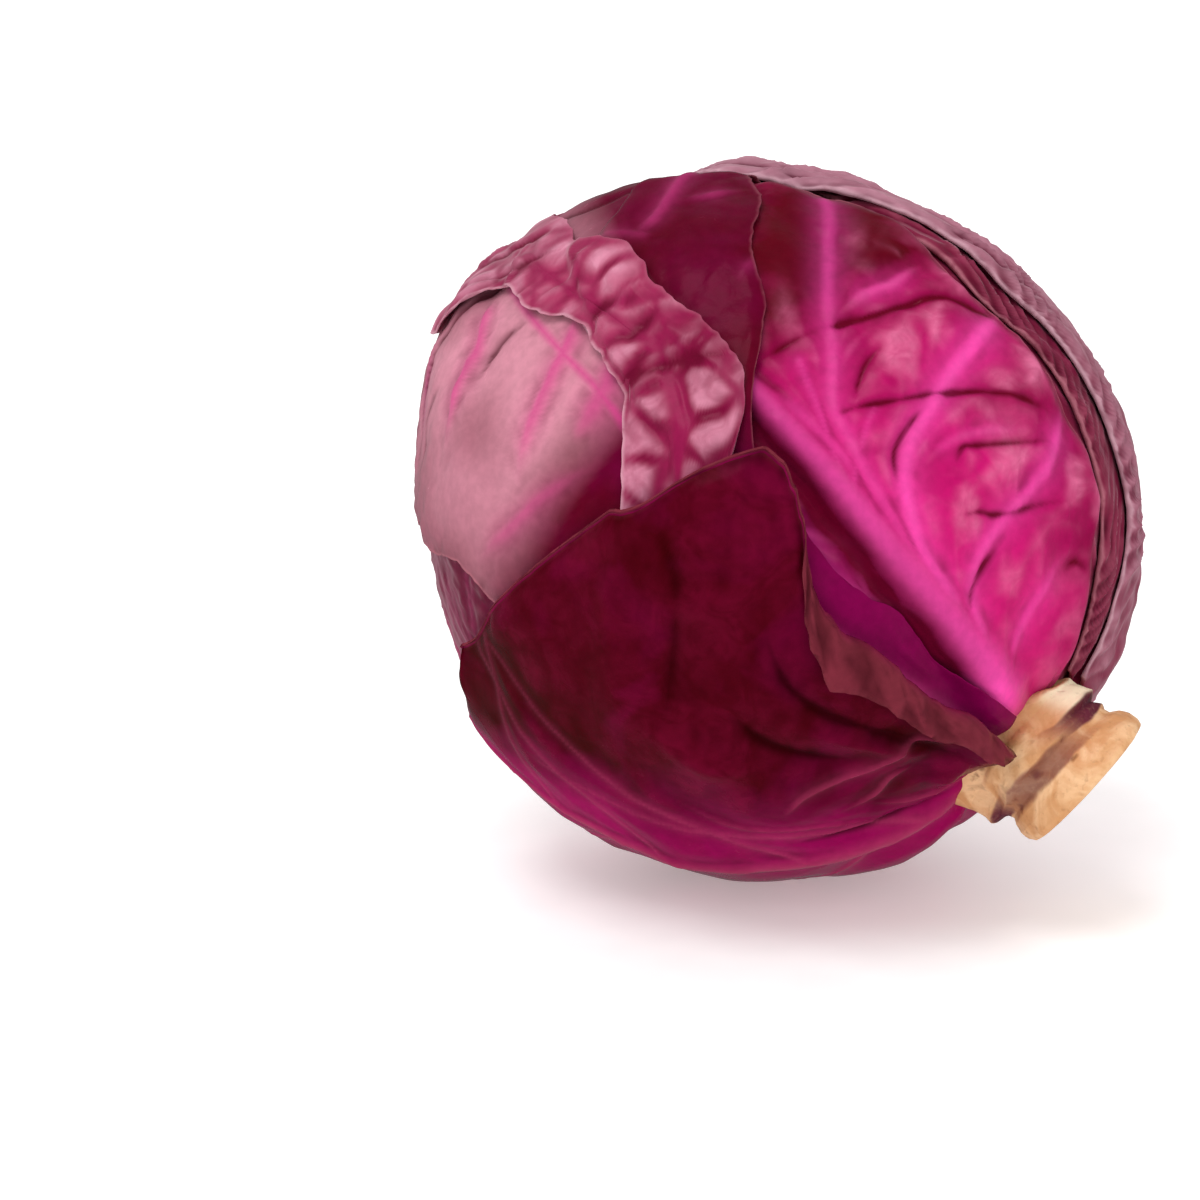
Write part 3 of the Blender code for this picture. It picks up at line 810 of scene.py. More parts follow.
@dataclass
class OuterLeaf:
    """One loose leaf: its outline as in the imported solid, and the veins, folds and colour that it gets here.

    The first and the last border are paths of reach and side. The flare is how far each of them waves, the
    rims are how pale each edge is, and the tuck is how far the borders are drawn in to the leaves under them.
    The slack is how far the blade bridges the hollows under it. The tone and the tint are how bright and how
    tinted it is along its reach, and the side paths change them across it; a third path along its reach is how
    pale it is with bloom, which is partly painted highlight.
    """

    node: str
    slot: Slot
    finish: LeafFinish
    base: float
    tip: float
    first: Angles
    last: Angles
    midrib: Angles = ((0, 0),)
    arc: float | None = None
    size: tuple[int, int] = (161, 141)
    rib: tuple[float, float] = (0.0024, 0.0045)
    jag: float = 0.35
    flare: tuple[float, float] = (0.0012, 0.0012)
    tip_flare: float = 0.0008
    tuck: float = 0.0
    slack: int = 3
    rests: bool = False
    plan: VeinPlan = VeinPlan()
    relief: Relief = Relief()
    veins: tuple[Line, ...] = ()
    creases: tuple[Line, ...] = ()
    puffs: tuple[Line, ...] = ()
    fold: Fold | None = None
    tone: Angles = ((0, 0.6), (60, 0.5), (180, 0.3))
    tone_side: Angles = ((-1, 0.0), (1, 0.0))
    tint: Angles = ((0, 0.0),)
    tint_side: Angles = ((-1, 1.0), (1, 1.0))
    bloom_and_highlight_share: Angles = ((0, 1.0),)
    rims: tuple[float, float] = (1.0, 1.0)
    rim_from: float = 0.0
    inner_step: int = 4
    seed: int = 1

    def spread(self, offset: np.ndarray, reach: np.ndarray) -> np.ndarray:
        """The angle on the head, in degrees, that a side offset at this reach makes."""
        return offset * np.sin(np.radians(reach)) if self.arc is None else offset

    def rays(self, reach: np.ndarray, side: np.ndarray) -> np.ndarray:
        """Directions from the head's centre.

        Args:
            reach: The reach of each place.
            side: The side of each place.

        Returns:
            One unit vector a place.
        """
        if self.arc is None:
            return directions(reach, side)
        return arc_directions(reach, side, self.arc)

    def angles_of(self, ray: np.ndarray) -> tuple[float, float]:
        """The leaf's angles of a direction.

        Args:
            ray: The direction.

        Returns:
            Its reach and its side.
        """
        if self.arc is None:
            middle = self.midrib[0][1]
            side = math.degrees(math.atan2(ray.dot(QUARTER), ray.dot(ZERO)))
            side = middle + (side - middle + 180.0) % 360.0 - 180.0
            return math.degrees(math.acos(max(-1.0, min(1.0, ray.dot(STEM))))), side
        start, square = arc_frame(self.arc)
        reach = math.degrees(math.atan2(ray.dot(start), ray.dot(STEM))) % 360.0
        return reach, math.degrees(math.asin(max(-1.0, min(1.0, ray.dot(square)))))

    def middle(self, place: np.ndarray) -> np.ndarray:
        """The side angle of the midrib."""
        return along_path(place, self.midrib)

    @staticmethod
    def outline_side(reach: np.ndarray, outline: Angles) -> np.ndarray:
        """A border's side at each reach, with the outline's corners rounded."""
        return sum(along_path(reach + step, outline) for step in CORNER_STEPS) / len(CORNER_STEPS)

    def border(self, place: np.ndarray, outline: Angles) -> tuple[np.ndarray, np.ndarray]:
        """Where each row meets a border.

        Args:
            place: The reach at which each row leaves the midrib.
            outline: The border.

        Returns:
            The reach and the side of each row's end.
        """
        reach = place.copy()
        for _ in range(BORDER_STEPS):
            offset = np.abs(self.outline_side(reach, outline) - self.middle(place))
            swept = place + SWEEP * self.spread(offset, reach)
            reach = 0.5 * (reach + np.minimum(swept, self.tip))
        round_head = self.spread(np.ones_like(reach), reach)
        grown = smooth_step((reach - self.base) / RIPPLE_START)
        phase = 1.4 if outline is self.last else 0.3
        ripple = RIPPLE * np.sin(RIPPLE_RATE * reach + phase)
        length = np.radians(reach) * BALL_RADIUS
        jag = line_noise(length, JAG_SIZE, self.seed + 3)
        jag = jag + 0.6 * line_noise(length, FINE_JAG_SIZE, self.seed + 4)
        jag = jag + 0.8 * line_noise(length, BROAD_JAG_SIZE, self.seed + 5)
        ripple = ripple + self.jag * jag
        return reach, self.outline_side(reach, outline) + ripple * grown / round_head

    def grid(self, place: np.ndarray, share: np.ndarray) -> tuple[np.ndarray, np.ndarray]:
        """The angles of a grid over the blade.

        Args:
            place: The reach at which each row leaves the midrib.
            share: Each column's place from the first border, -1, to the last, 1.

        Returns:
            The reach and the side at each grid point.
        """
        ends = [self.border(place, self.first), self.border(place, self.last)]
        half = (share > 0).astype(int)
        reach_end = np.stack([ends[h][0] for h in half], axis=1)
        side_end = np.stack([ends[h][1] for h in half], axis=1)
        out = np.abs(share)[None, :]
        reach = place[:, None] + (reach_end - place[:, None]) * out**SWEEP_CURVE
        middle = self.middle(place)[:, None]
        return reach, middle + (side_end - middle) * out

    def inside(self, ray: np.ndarray) -> bool:
        """Whether a direction is on the blade.

        Args:
            ray: The direction.

        Returns:
            True where it is.
        """
        reach, side = self.angles_of(ray)
        between = along_path(reach, self.first) < side < along_path(reach, self.last)
        return self.base < reach < self.tip - 1.0 and bool(between)

    def walk(
        self,
        ray: np.ndarray,
        heading: np.ndarray,
        sign: float,
        width: float,
        length: float,
        forks: int,
        random: np.random.Generator,
        samples: list[tuple[float, ...]],
    ) -> None:
        """Grows one vein and its forks.

        Args:
            ray: Where it starts.
            heading: Which way it goes, square to the ray.
            sign: Which side of the midrib it is on.
            width: Its share of the full width, which shrinks as it goes.
            length: How far it goes at most.
            forks: How many times it still divides.
            random: The draws.
            samples: Gets a place, a share of the width and the forks left, for each step.
        """
        plan = self.plan
        steps = int(length / plan.step)
        fork_at = sorted(random.uniform(0.25, 0.75, forks) * steps) if forks else []
        wander = 0.0
        for number in range(steps):
            along = number / steps
            samples.append((*ray, width * (1.0 - plan.narrowing * along), forks))
            if fork_at and number >= fork_at[0]:
                fork_at.pop(0)
                turn = math.radians(random.uniform(*plan.fork_turn)) * random.choice((-1.0, 1.0))
                other = heading * math.cos(turn) + np.cross(ray, heading) * math.sin(turn)
                left = length * (1 - along) * plan.fork_length
                self.walk(ray, other, sign, width * plan.fork_width, left, forks - 1, random, samples)
            wander = plan.steadiness * wander + plan.wander * random.normal()
            turn = math.radians(sign * plan.bend / steps + wander)
            heading = heading * math.cos(turn) + np.cross(ray, heading) * math.sin(turn)
            ray = ray + heading * plan.step / BALL_RADIUS
            ray = ray / np.linalg.norm(ray)
            heading = heading - heading.dot(ray) * ray
            heading /= np.linalg.norm(heading)
            if not self.inside(ray):
                return

    def vein_groups(self) -> list[np.ndarray]:
        """Points along the side veins, one group for each order of fork and for each placed vein.

        Returns:
            Groups of rows with a direction, a share of the full width, a colour's strength and a height.
        """
        random = np.random.default_rng(self.seed)
        plan = self.plan
        samples: list[tuple[float, ...]] = []
        places = np.arange(self.base + plan.start, self.tip - plan.end, plan.spacing)
        for number, place in enumerate(places):
            for sign, wanted in ((-1.0, plan.first), (1.0, plan.last)):
                if not wanted:
                    continue
                shift = random.uniform(-plan.uneven, plan.uneven)
                at = np.array([place + shift + (sign > 0) * plan.spacing * plan.stagger])
                ray = self.rays(at, self.middle(at))[0]
                ahead = self.rays(at + 1.0, self.middle(at + 1.0))[0]
                along = ahead - ray
                along /= np.linalg.norm(along)
                aside = np.cross(along, ray)
                sense = self.side_sense(ray, aside)
                angle = math.radians(plan.angle + random.uniform(-plan.uneven_angle, plan.uneven_angle))
                heading = along * math.cos(angle) + aside * sign * sense * math.sin(angle)
                size = 1.0 - 0.5 * number / len(places)
                self.walk(ray, heading, -sign * sense, size, plan.length, plan.forks, random, samples)
        grown = np.array(samples).reshape(-1, 5)
        groups = [grown[grown[:, 4] == forks][:, [0, 1, 2, 3, 3, 3]] for forks in range(plan.forks + 1)]
        for group in groups:
            group[:, 4] = plan.strength
            group[:, 5] *= plan.height
        for line in self.veins:
            sizes = np.array([line.width / plan.width, line.strength, line.height])
            groups.append(np.array([(*ray, *(sizes * share)) for ray, share in self.trace(line)]))
        return [group for group in groups if len(group)]

    def side_sense(self, ray: np.ndarray, aside: np.ndarray) -> float:
        """1 where a direction goes towards the last border, and -1 where towards the first."""
        moved = ray + aside * 0.02
        return 1.0 if self.angles_of(moved / np.linalg.norm(moved))[1] > self.angles_of(ray)[1] else -1.0

    def trace(self, line: Line) -> list[tuple[np.ndarray, float]]:
        """Follows a line.

        Args:
            line: The line.

        Returns:
            Closely spaced directions along it, each with how strong the line is there.
        """
        last = len(line.path) - 1
        at = np.linspace(0, last, LINE_STEPS * last + 1)
        reach, side = cubic_resample(np.array(line.path, float), at).T
        ends = np.minimum(at, last - at)
        return list(zip(self.rays(reach, side), smooth_step(LINE_END + ends / LINE_FADE)))


class HeadSurface:
    """The head so far, which each further leaf is laid on."""

    def __init__(self) -> None:
        """Starts with nothing on it."""
        self.trees: list[BVHTree] = []

    def add(self, points: np.ndarray, faces: list[tuple[int, ...]]) -> None:
        """Counts a finished surface among those that the next leaves lie on.

        Args:
            points: Its places, from the head's centre.
            faces: Its faces, as numbers of places.
        """
        self.trees.append(BVHTree.FromPolygons(points.tolist(), faces))

    def heights(self, rays: np.ndarray) -> np.ndarray:
        """How far out the head reaches.

        Args:
            rays: Directions from its centre.

        Returns:
            Metres along each ray, 0 where nothing is there.
        """
        flat = rays.reshape(-1, 3)
        best = np.zeros(len(flat))
        starts, inwards = (flat * FARTHEST).tolist(), (-flat).tolist()
        for tree in self.trees:
            cast = tree.ray_cast
            hits = [cast(start, inward)[3] for start, inward in zip(starts, inwards)]
            best = np.maximum(best, np.array([0.0 if hit is None else FARTHEST - hit for hit in hits]))
        return best.reshape(rays.shape[:-1])

    def drape(self, leaf: OuterLeaf, place: np.ndarray, share: np.ndarray) -> np.ndarray:
        """Radii at which a leaf clears everything under it.

        Args:
            leaf: The leaf.
            place: The reach at which each of its rows leaves the midrib.
            share: Each of its columns' place from border to border.

        Returns:
            One radius a grid point, in metres.
        """
        rows = int((leaf.tip - leaf.base) / CELL_DEGREES) + 1
        columns = max(LEAST_COLUMNS, int(rows * COLUMN_SHARE))
        coarse = np.linspace(place[0], place[-1], rows * PROBES + 1)
        across = np.linspace(-1.0, 1.0, columns * PROBES + 1)
        under = self.heights(leaf.rays(*leaf.grid(coarse, across)))
        padded = np.pad(under, PROBES, mode="edge")
        window = np.lib.stride_tricks.sliding_window_view(padded, (2 * PROBES + 1, 2 * PROBES + 1))
        radii = window.max(axis=(2, 3)) + GAP
        floor = radii
        for _ in range(leaf.slack):
            radii = np.maximum(radii, blurred(radii, 3))
        radii = np.maximum(blurred(radii, 2), floor - DIP)
        up = (place - coarse[0]) / (coarse[-1] - coarse[0]) * (len(coarse) - 1)
        over = (share + 1.0) / 2.0 * (len(across) - 1)
        return cubic_resample(cubic_resample(radii, up).T, over).T


def blurred(values: np.ndarray, passes: int) -> np.ndarray:
    """A grid of values, each drawn towards its neighbours.

    Args:
        values: The grid.
        passes: How many times.

    Returns:
        The smoother grid.
    """
    for _ in range(passes):
        edge = np.pad(values, 1, mode="edge")
        sides = edge[:-2, 1:-1] + edge[2:, 1:-1] + edge[1:-1, :-2] + edge[1:-1, 2:]
        values = 0.5 * values + 0.125 * sides
    return values


def steadied(values: np.ndarray) -> np.ndarray:
    """Columns of values, each averaged along its length."""
    padded = np.pad(values, ((4, 4), (0, 0)), mode="edge")
    return np.lib.stride_tricks.sliding_window_view(padded, 9, axis=0).mean(axis=-1)


@dataclass
class Blade:
    """A leaf's finished faces and the numbers that its skin reads, grid point by grid point."""

    inner: np.ndarray
    outer: np.ndarray
    marks: dict[str, np.ndarray]

    @staticmethod
    def quads(number: np.ndarray) -> np.ndarray:
        """Four-sided faces over a grid of vertex numbers."""
        corners = (number[:-1, :-1], number[1:, :-1], number[1:, 1:], number[:-1, 1:])
        return np.stack(corners, -1).reshape(-1, 4)

    def faces(self, step: int) -> tuple[np.ndarray, list[tuple[int, ...]], np.ndarray]:
        """The closed blade: a fine outer face, a plainer inner face and the rim between them.

        Args:
            step: How many fine cells the inner face's cells are wide.

        Returns:
            The vertices, the faces, and for each vertex the number of its grid point.
        """
        rows, columns = self.outer.shape[:2]
        number = np.arange(rows * columns).reshape(rows, columns)
        kept = np.zeros((rows, columns), bool)
        kept[::step, ::step] = True
        kept[[0, -1], :] = True
        kept[:, [0, -1]] = True
        inner = np.full((rows, columns), -1)
        inner[kept] = rows * columns + np.arange(kept.sum())
        vertices = np.concatenate([self.outer.reshape(-1, 3), self.inner[kept]])
        origin = np.concatenate([number.ravel(), number[kept]])
        quads = [self.quads(number)]
        for outer_line, inner_line in (
            (number[0], inner[0]),
            (number[-1, ::-1], inner[-1, ::-1]),
            (number[::-1, 0], inner[::-1, 0]),
            (number[:, -1], inner[:, -1]),
        ):
            quads.append(np.stack([outer_line[:-1], outer_line[1:], inner_line[1:], inner_line[:-1]], -1))
        faces = [tuple(face) for face in np.concatenate(quads).tolist()]
        for i in range(0, rows - 1, step):
            for j in range(0, columns - 1, step):
                below, right = i + step, j + step
                walk = [inner[i, j:right] if i == 0 else inner[i, j:j + 1]]
                walk.append(inner[i:below, right] if right == columns - 1 else inner[i:i + 1, right])
                walk.append(inner[below, right:j:-1] if below == rows - 1 else inner[below, right:right + 1])
                walk.append(inner[below:i:-1, j] if j == 0 else inner[below:below + 1, j])
                faces.append(tuple(int(v) for part in walk for v in part))
        return vertices, faces, origin

    def surface(self) -> tuple[np.ndarray, list[tuple[int, ...]]]:
        """A plainer copy of the outer face, for the next leaves to lie on.

        Returns:
            Its places and its faces.
        """
        points = self.outer[::SURFACE_STEP, ::SURFACE_STEP]
        number = np.arange(points[..., 0].size).reshape(points.shape[:2])
        return points.reshape(-1, 3), [tuple(face) for face in self.quads(number).tolist()]


class LeafForm:
    """One leaf's relief on a grid over its blade, and the numbers that its skin reads."""

    def __init__(self, leaf: OuterLeaf, cells: np.ndarray) -> None:
        """Lays the grid and raises the relief on it.

        Args:
            leaf: The leaf.
            cells: The middles of the blisters, as directions.
        """
        self.leaf = leaf
        self.lay_grid()
        self.raise_midrib()
        self.raise_veins()
        self.blister = self.blisters(cells)
        self.raise_blade()
        self.crumple_blade()
        self.pleat_margins()
        self.press_creases()
        self.wave_margins()
        self.thickness = BLADE_THICKNESS * (0.55 + 0.45 * smooth_step(self.edge / THIN_WIDTH)) + self.rib

    def noise(self, size: float, number: int) -> np.ndarray:
        """Smooth noise over the blade, one of the leaf's own."""
        return lattice_noise(self.sphere, size, self.leaf.seed + number)

    def either(self, pair: tuple[float, float]) -> np.ndarray:
        """The first number on the first border's half of the blade, and the second on the last's."""
        return np.where(self.share < 0, *pair)[None, :]

    def lay_grid(self) -> None:
        """Lays the grid, closer near the borders, and measures where its points are.

        In metres, off is how far a point is from the midrib, edge how far from the nearest border or the tip,
        margin how far from a steadier line along the border, and inset that or the way to the tip.
        """
        leaf = self.leaf
        rows, columns = leaf.size
        even = np.linspace(-1.0, 1.0, columns)
        self.place = np.linspace(leaf.base, leaf.tip - TIP_BLUNT, rows)
        self.share = even * (1.0 + BORDER_PACKING - BORDER_PACKING * even**2)
        self.reach, side = leaf.grid(self.place, self.share)
        self.rays = leaf.rays(self.reach, side)
        self.sphere = self.rays * BALL_RADIUS
        aside = leaf.spread(side - leaf.middle(self.place)[:, None], self.reach)
        self.off = np.radians(aside) * BALL_RADIUS
        self.along = ((self.place - leaf.base) / (leaf.tip - leaf.base))[:, None]
        self.half = (self.share > 0).astype(int)
        self.tip_margin = np.radians(self.place[-1] - self.place)[:, None] * BALL_RADIUS
        ends, out = np.abs(self.off[:, [0, -1]]), np.abs(self.off)
        self.edge = np.minimum(np.maximum(ends[:, self.half] - out, 0.0), self.tip_margin)
        self.margin = steadied(ends)[:, self.half] - out
        self.inset = np.minimum(np.maximum(self.margin, 0.0), self.tip_margin)

    def raise_midrib(self) -> None:
        """Raises the midrib, which tapers to the tip, and marks its crest for a painted highlight."""
        height, width = self.leaf.rib
        taper = 1.0 - RIB_TAPER * self.along
        risen = smooth_step(RIB_START + RIB_GROWTH * self.along)
        self.rib_shape = np.exp(-((np.abs(self.off) / (width * taper)) ** 2.6)) * risen
        self.crest_highlight = np.exp(-((self.off / (0.5 * width * taper)) ** 2)) * risen
        self.rib = height * taper * self.rib_shape

    def raise_veins(self) -> None:
        """Raises the side veins, and works out their glow and how far each point is from a vein."""
        self.vein, self.halo = np.zeros_like(self.off), np.zeros_like(self.off)
        self.away = np.abs(self.off)
        for group in self.leaf.vein_groups():
            index, distance = nearest(plant_tree(group[:, :3] * BALL_RADIUS), self.sphere)
            bulk, strength, height = group[index, 3], group[index, 4], group[index, 5]
            width = self.leaf.plan.width * (0.35 + 0.65 * bulk)
            self.vein = np.maximum(self.vein, np.exp(-((distance / width) ** 2)) * height)
            core = np.exp(-((distance / (VEIN_CORE * width)) ** 2))
            glow = np.exp(-((distance / (VEIN_GLOW * width)) ** 2))
            bright = 0.5 * (core + glow) * np.clip(bulk, 0.0, 1.0) * strength
            self.halo = np.maximum(self.halo, bright)
            self.away = np.minimum(self.away, distance)

    def blisters(self, cells: np.ndarray) -> np.ndarray:
        """Works out the blisters and the net between them.

        Args:
            cells: The middles of the blisters, as directions.

        Returns:
            How far inside its blister each point is, 0 on the net and 1 well inside.
        """
        size = self.leaf.relief.blister_size
        tree = plant_tree(cells[:: max(1, round((size / BLISTER_SPACING) ** 2))])
        seeds = [self.leaf.seed + number for number in (11, 12, 13)]
        warp = [lattice_noise(self.rays, BLISTER_WARP_SIZE, seed) for seed in seeds]
        places = self.rays + BLISTER_WARP * np.stack(warp, axis=-1)
        places = places / np.linalg.norm(places, axis=-1, keepdims=True)
        found = [tree.find_n(point, 2) for point in places.reshape(-1, 3).tolist()]
        gap = np.array([second[2] - first[2] for first, second in found]).reshape(self.off.shape)
        return smooth_step(gap * BALL_RADIUS / (BLISTER_FLANK * size))

    def raise_blade(self) -> None:
        """Raises the blade between the veins in pillows and blisters, and beside the midrib."""
        form = self.leaf.relief
        keep = 1.0 - 0.8 * self.rib_shape
        self.calm = along_path(self.reach, form.calm)
        self.pillow = 1.0 - np.exp(-((self.away / form.pillow_reach) ** 1.5))
        lift = (form.pillow * self.pillow + form.blister * self.blister) * keep * self.calm
        beside = np.where(self.off < 0, *form.side_lift) * smooth_step(np.abs(self.off) / self.leaf.rib[1])
        lift = (lift + beside * smooth_step(self.along * 5.0)) * smooth_step(self.inset / ARCH_WIDTH + 0.1)
        self.lift = lift + self.vein * (0.4 + 0.6 * keep)

    def near_line(self, line: Line) -> tuple[np.ndarray, np.ndarray]:
        """How close each point is to a line, from 0 to 1.

        Args:
            line: The line.

        Returns:
            The line's cross-section, and a softer one with a thin core for its shade.
        """
        traced = self.leaf.trace(line)
        places = np.array([ray for ray, _ in traced]) * BALL_RADIUS
        nearby, far = nearest(plant_tree(places), self.sphere)
        value = np.array([value for _, value in traced])[nearby]
        patchy = 0.55 + 0.45 * self.noise(0.006, 15)
        core = 0.55 * patchy * np.exp(-((far / max(0.6 * line.width, CREASE_CORE)) ** 1.4))
        soft = 0.4 * np.exp(-((far / (2.4 * line.width)) ** 2))
        section = value * np.exp(-((far / line.width) ** 1.3))
        if line.width > BROAD_LINE:
            section = blurred(section, BROAD_LINE_PASSES)
        return section, value * (core + soft)

    def crumple_blade(self) -> None:
        """Adds the puffs, which are marked pale with bloom and painted highlight, the slow swell and the fine
        crumple of the blade.
        """
        form = self.leaf.relief
        self.puff = np.zeros_like(self.off)
        for line in self.leaf.puffs:
            mound, _ = self.near_line(line)
            self.lift += line.height * mound
            self.puff = np.maximum(self.puff, mound * line.strength)
        self.lift += form.swell * (0.5 + 0.5 * self.noise(form.swell_size, 0))
        rough = 1.0 - np.abs(self.noise(form.crumple_size, 1))
        rough = rough + 0.4 * self.noise(form.crumple_size * 0.4, 2)
        self.lift += form.crumple * rough * self.calm

    def pleat_margins(self) -> None:
        """Adds the pleats near the borders, patchy and never quite parallel."""
        form = self.leaf.relief
        first, last = form.pleat
        heights = ((-1.0, first), (-0.85, first), (-0.6, 0.0), (0.6, 0.0), (0.85, last), (1.0, last))
        patches = 0.25 + 0.75 * smooth_step(0.5 + self.noise(0.011, 17))
        broad, fine = PLEAT_DRIFT_SIZES
        drift = 1.6 * self.noise(broad, 6) + 0.6 * self.noise(fine, 7)
        ridges = ridged(self.off / form.pleat_size + drift)
        self.pleats = along_path(self.share, heights)[None, :] * patches * ridges
        self.lift += self.pleats

    def press_creases(self) -> None:
        """Presses the creases into the blade, and paints shade along them."""
        self.crease_shade = np.zeros_like(self.off)
        for line in self.leaf.creases:
            depth, shade = self.near_line(line)
            self.lift -= line.height * depth
            self.crease_shade = np.maximum(self.crease_shade, shade * line.strength)

    def wave_margins(self) -> None:
        """Waves the borders and the tip, and keeps the blade above what it lies on."""
        leaf, form = self.leaf, self.leaf.relief
        length = np.radians(self.reach[:, [0, -1]])[:, self.half] * BALL_RADIUS
        waves = 0.45 + 0.7 * line_noise(length, form.ruffle_size * 0.55, leaf.seed + 8)
        waves = waves + 0.25 * line_noise(length, form.ruffle_size * 0.22, leaf.seed + 9)
        frill = smooth_step(1.0 - self.margin / form.ruffle_depth) ** 1.5
        ends = smooth_step(self.along * 5.0) * smooth_step((1.0 - self.along) * 3.0)
        self.lift += self.either(leaf.flare) * frill * waves * ends
        tip_waves = 0.5 + 0.5 * line_noise(self.off, form.ruffle_size * 0.6, leaf.seed + 10)
        self.lift += leaf.tip_flare * smooth_step(1.0 - self.tip_margin / form.ruffle_depth) * tip_waves
        self.lift = np.maximum(self.lift - min(0.0, float(np.percentile(self.lift, 2))), 0.0)

    def radii(self, ground: np.ndarray) -> tuple[np.ndarray, np.ndarray]:
        """Where the blade's faces are, with its borders tucked in.

        Args:
            ground: The radius at which each point clears everything under the leaf.

        Returns:
            The radii of the inner and of the outer face.
        """
        raised = ground + self.lift
        tuck = self.leaf.tuck * self.lift
        inner = raised - tuck * (1.0 - smooth_step(self.inset / TUCK_WIDTH))
        drawn_in = 0.5 * tuck * (1.0 - smooth_step(self.inset / OUTER_TUCK_WIDTH))
        return inner, raised + self.thickness - drawn_in

    def marks(self) -> dict[str, np.ndarray]:
        """The numbers that the skin reads.

        Returns:
            For each name, a value from 0 to 1 at each grid point.
        """
        leaf = self.leaf
        tone = along_path(self.reach, leaf.tone) + along_path(self.share, leaf.tone_side)[None, :]
        tint = along_path(self.reach, leaf.tint) * along_path(self.share, leaf.tint_side)[None, :]
        # Hollows get painted shade; raised parts and pleat ridges get pale bloom that is partly painted
        # highlight.
        stand = self.lift + self.thickness
        hollow = (blurred(stand, CREVICE_PASSES) - stand) / CREVICE_DEPTH
        rise = smooth_step((0.6 * self.pillow + 0.4 * self.blister - leaf.relief.bloom_and_highlight_from) / 0.6)
        rise = rise * (0.75 + 0.45 * self.noise(0.013, 14)) * (1.0 - 0.7 * self.rib_shape)
        rise = np.clip(rise + self.pleats / 0.002 - 0.5 * hollow, 0.0, 1.0)
        net = (1.0 - self.blister) ** 3 * leaf.relief.net
        rim = smooth_step(1.0 - self.edge / RIM_WIDTH) * self.either(leaf.rims)
        marks = {
            "tone": tone + 0.35 * np.exp(-np.abs(self.off) / RIB_GLOW),
            "tint": tint * np.clip(0.9 + 0.35 * self.noise(0.015, 16), 0.0, 1.0),
            # The veins and the midrib are pale, with a painted highlight along the midrib's crest.
            "vein": np.maximum(self.halo, 0.7 * self.rib_shape + 0.3 * self.crest_highlight) + net,
            "rise": rise * along_path(self.reach, leaf.bloom_and_highlight_share) + self.puff * (1.0 - self.halo),
            # Painted shade in the creases and in the hollows.
            "crease_shade": self.crease_shade + np.clip(hollow - 0.15, 0.0, 0.8),
            "rim": rim * smooth_step((self.reach - leaf.rim_from) / RIM_FADE),
        }
        return {name: np.clip(value, 0.0, 1.0) for name, value in marks.items()}


class LeafMaker:
    """Lays the leaves on the head and makes each one's mesh, skin and place in the frame."""

    def __init__(self, height: float, head: HeadSurface) -> None:
        """Takes the head.

        Args:
            height: How high the head's centre is above the floor.
            head: What the leaves lie on.
        """
        self.height = height
        self.head = head
        self.cells = self.cell_centres()

    @staticmethod
    def cell_centres() -> np.ndarray:
        """Spreads the middles of the blisters evenly, with a little disorder.

        Returns:
            Directions about a blister's width apart.
        """
        at = np.arange(BLISTER_COUNT) + 0.5
        turn, height = math.pi * (1 + 5**0.5) * at, 1 - 2 * at / BLISTER_COUNT
        ring = np.sqrt(1 - height**2)
        spots = np.stack([ring * np.cos(turn), ring * np.sin(turn), height], axis=-1)
        spots += np.random.default_rng(5).normal(0.0, BLISTER_DISORDER, spots.shape)
        return spots / np.linalg.norm(spots, axis=1, keepdims=True)

    def flattened(self, rays: np.ndarray, radii: np.ndarray) -> np.ndarray:
        """Keeps a face above the floor, and brings it down to the floor on the flat spot.

        Args:
            rays: The face's directions from the head's centre.
            radii: Its radii.

        Returns:
            The new radii.
        """
        below = rays[..., 2] < 0
        floor = self.height / np.maximum(-rays[..., 2], 1e-3)
        distance = np.hypot(rays[..., 0] * radii, rays[..., 1] * radii)
        share = smooth_step((1.5 * BALL_FLAT_RADIUS - distance) / BALL_FLAT_RADIUS) * below
        return np.minimum(radii + (floor - radii) * share, np.where(below, floor, radii))

    def shape(self, leaf: OuterLeaf) -> Blade:
        """Works out a leaf's faces and its skin's numbers.

        Args:
            leaf: The leaf.

        Returns:
            The blade, from the head's centre.
        """
        form = LeafForm(leaf, self.cells)
        inner_radii, outer_radii = form.radii(self.head.drape(leaf, form.place, form.share))
        if leaf.rests:
            outer_radii = self.flattened(form.rays, outer_radii)
            inner_radii = np.minimum(inner_radii, outer_radii - BLADE_THICKNESS)
        inner, outer = form.rays * inner_radii[..., None], form.rays * outer_radii[..., None]
        marks = form.marks()
        if leaf.fold:
            turned, facing, wrinkle = leaf.fold.columns_of(inner, form.rays, form.reach[:, 0])
            inner = np.concatenate([turned, inner], axis=1)
            outer = np.concatenate([turned + facing * BLADE_THICKNESS, outer], axis=1)
            extra = leaf.fold.marks(wrinkle)
            marks = {name: np.concatenate([extra[name], marks[name]], axis=1) for name in marks}
        return Blade(inner, outer, marks)

    def build(self, leaf: OuterLeaf) -> bpy.types.Object:
        """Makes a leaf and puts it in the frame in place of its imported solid.

        Args:
            leaf: The leaf.

        Returns:
            The leaf's object.
        """
        blade = self.shape(leaf)
        self.head.add(*blade.surface())
        vertices, faces, origin = blade.faces(leaf.inner_step)
        mesh = bpy.data.meshes.new(leaf.node)
        mesh.from_pydata((vertices + np.array([0.0, 0.0, self.height])).tolist(), [], faces)
        for name, value in blade.marks.items():
            write_mark(mesh, name, value.ravel()[origin])
        mesh.shade_smooth()
        piece = bpy.data.objects.new(f"{leaf.node}_fine", mesh)
        mesh.materials.append(leaf.finish.material())
        settle(piece, leaf.node)
        return piece


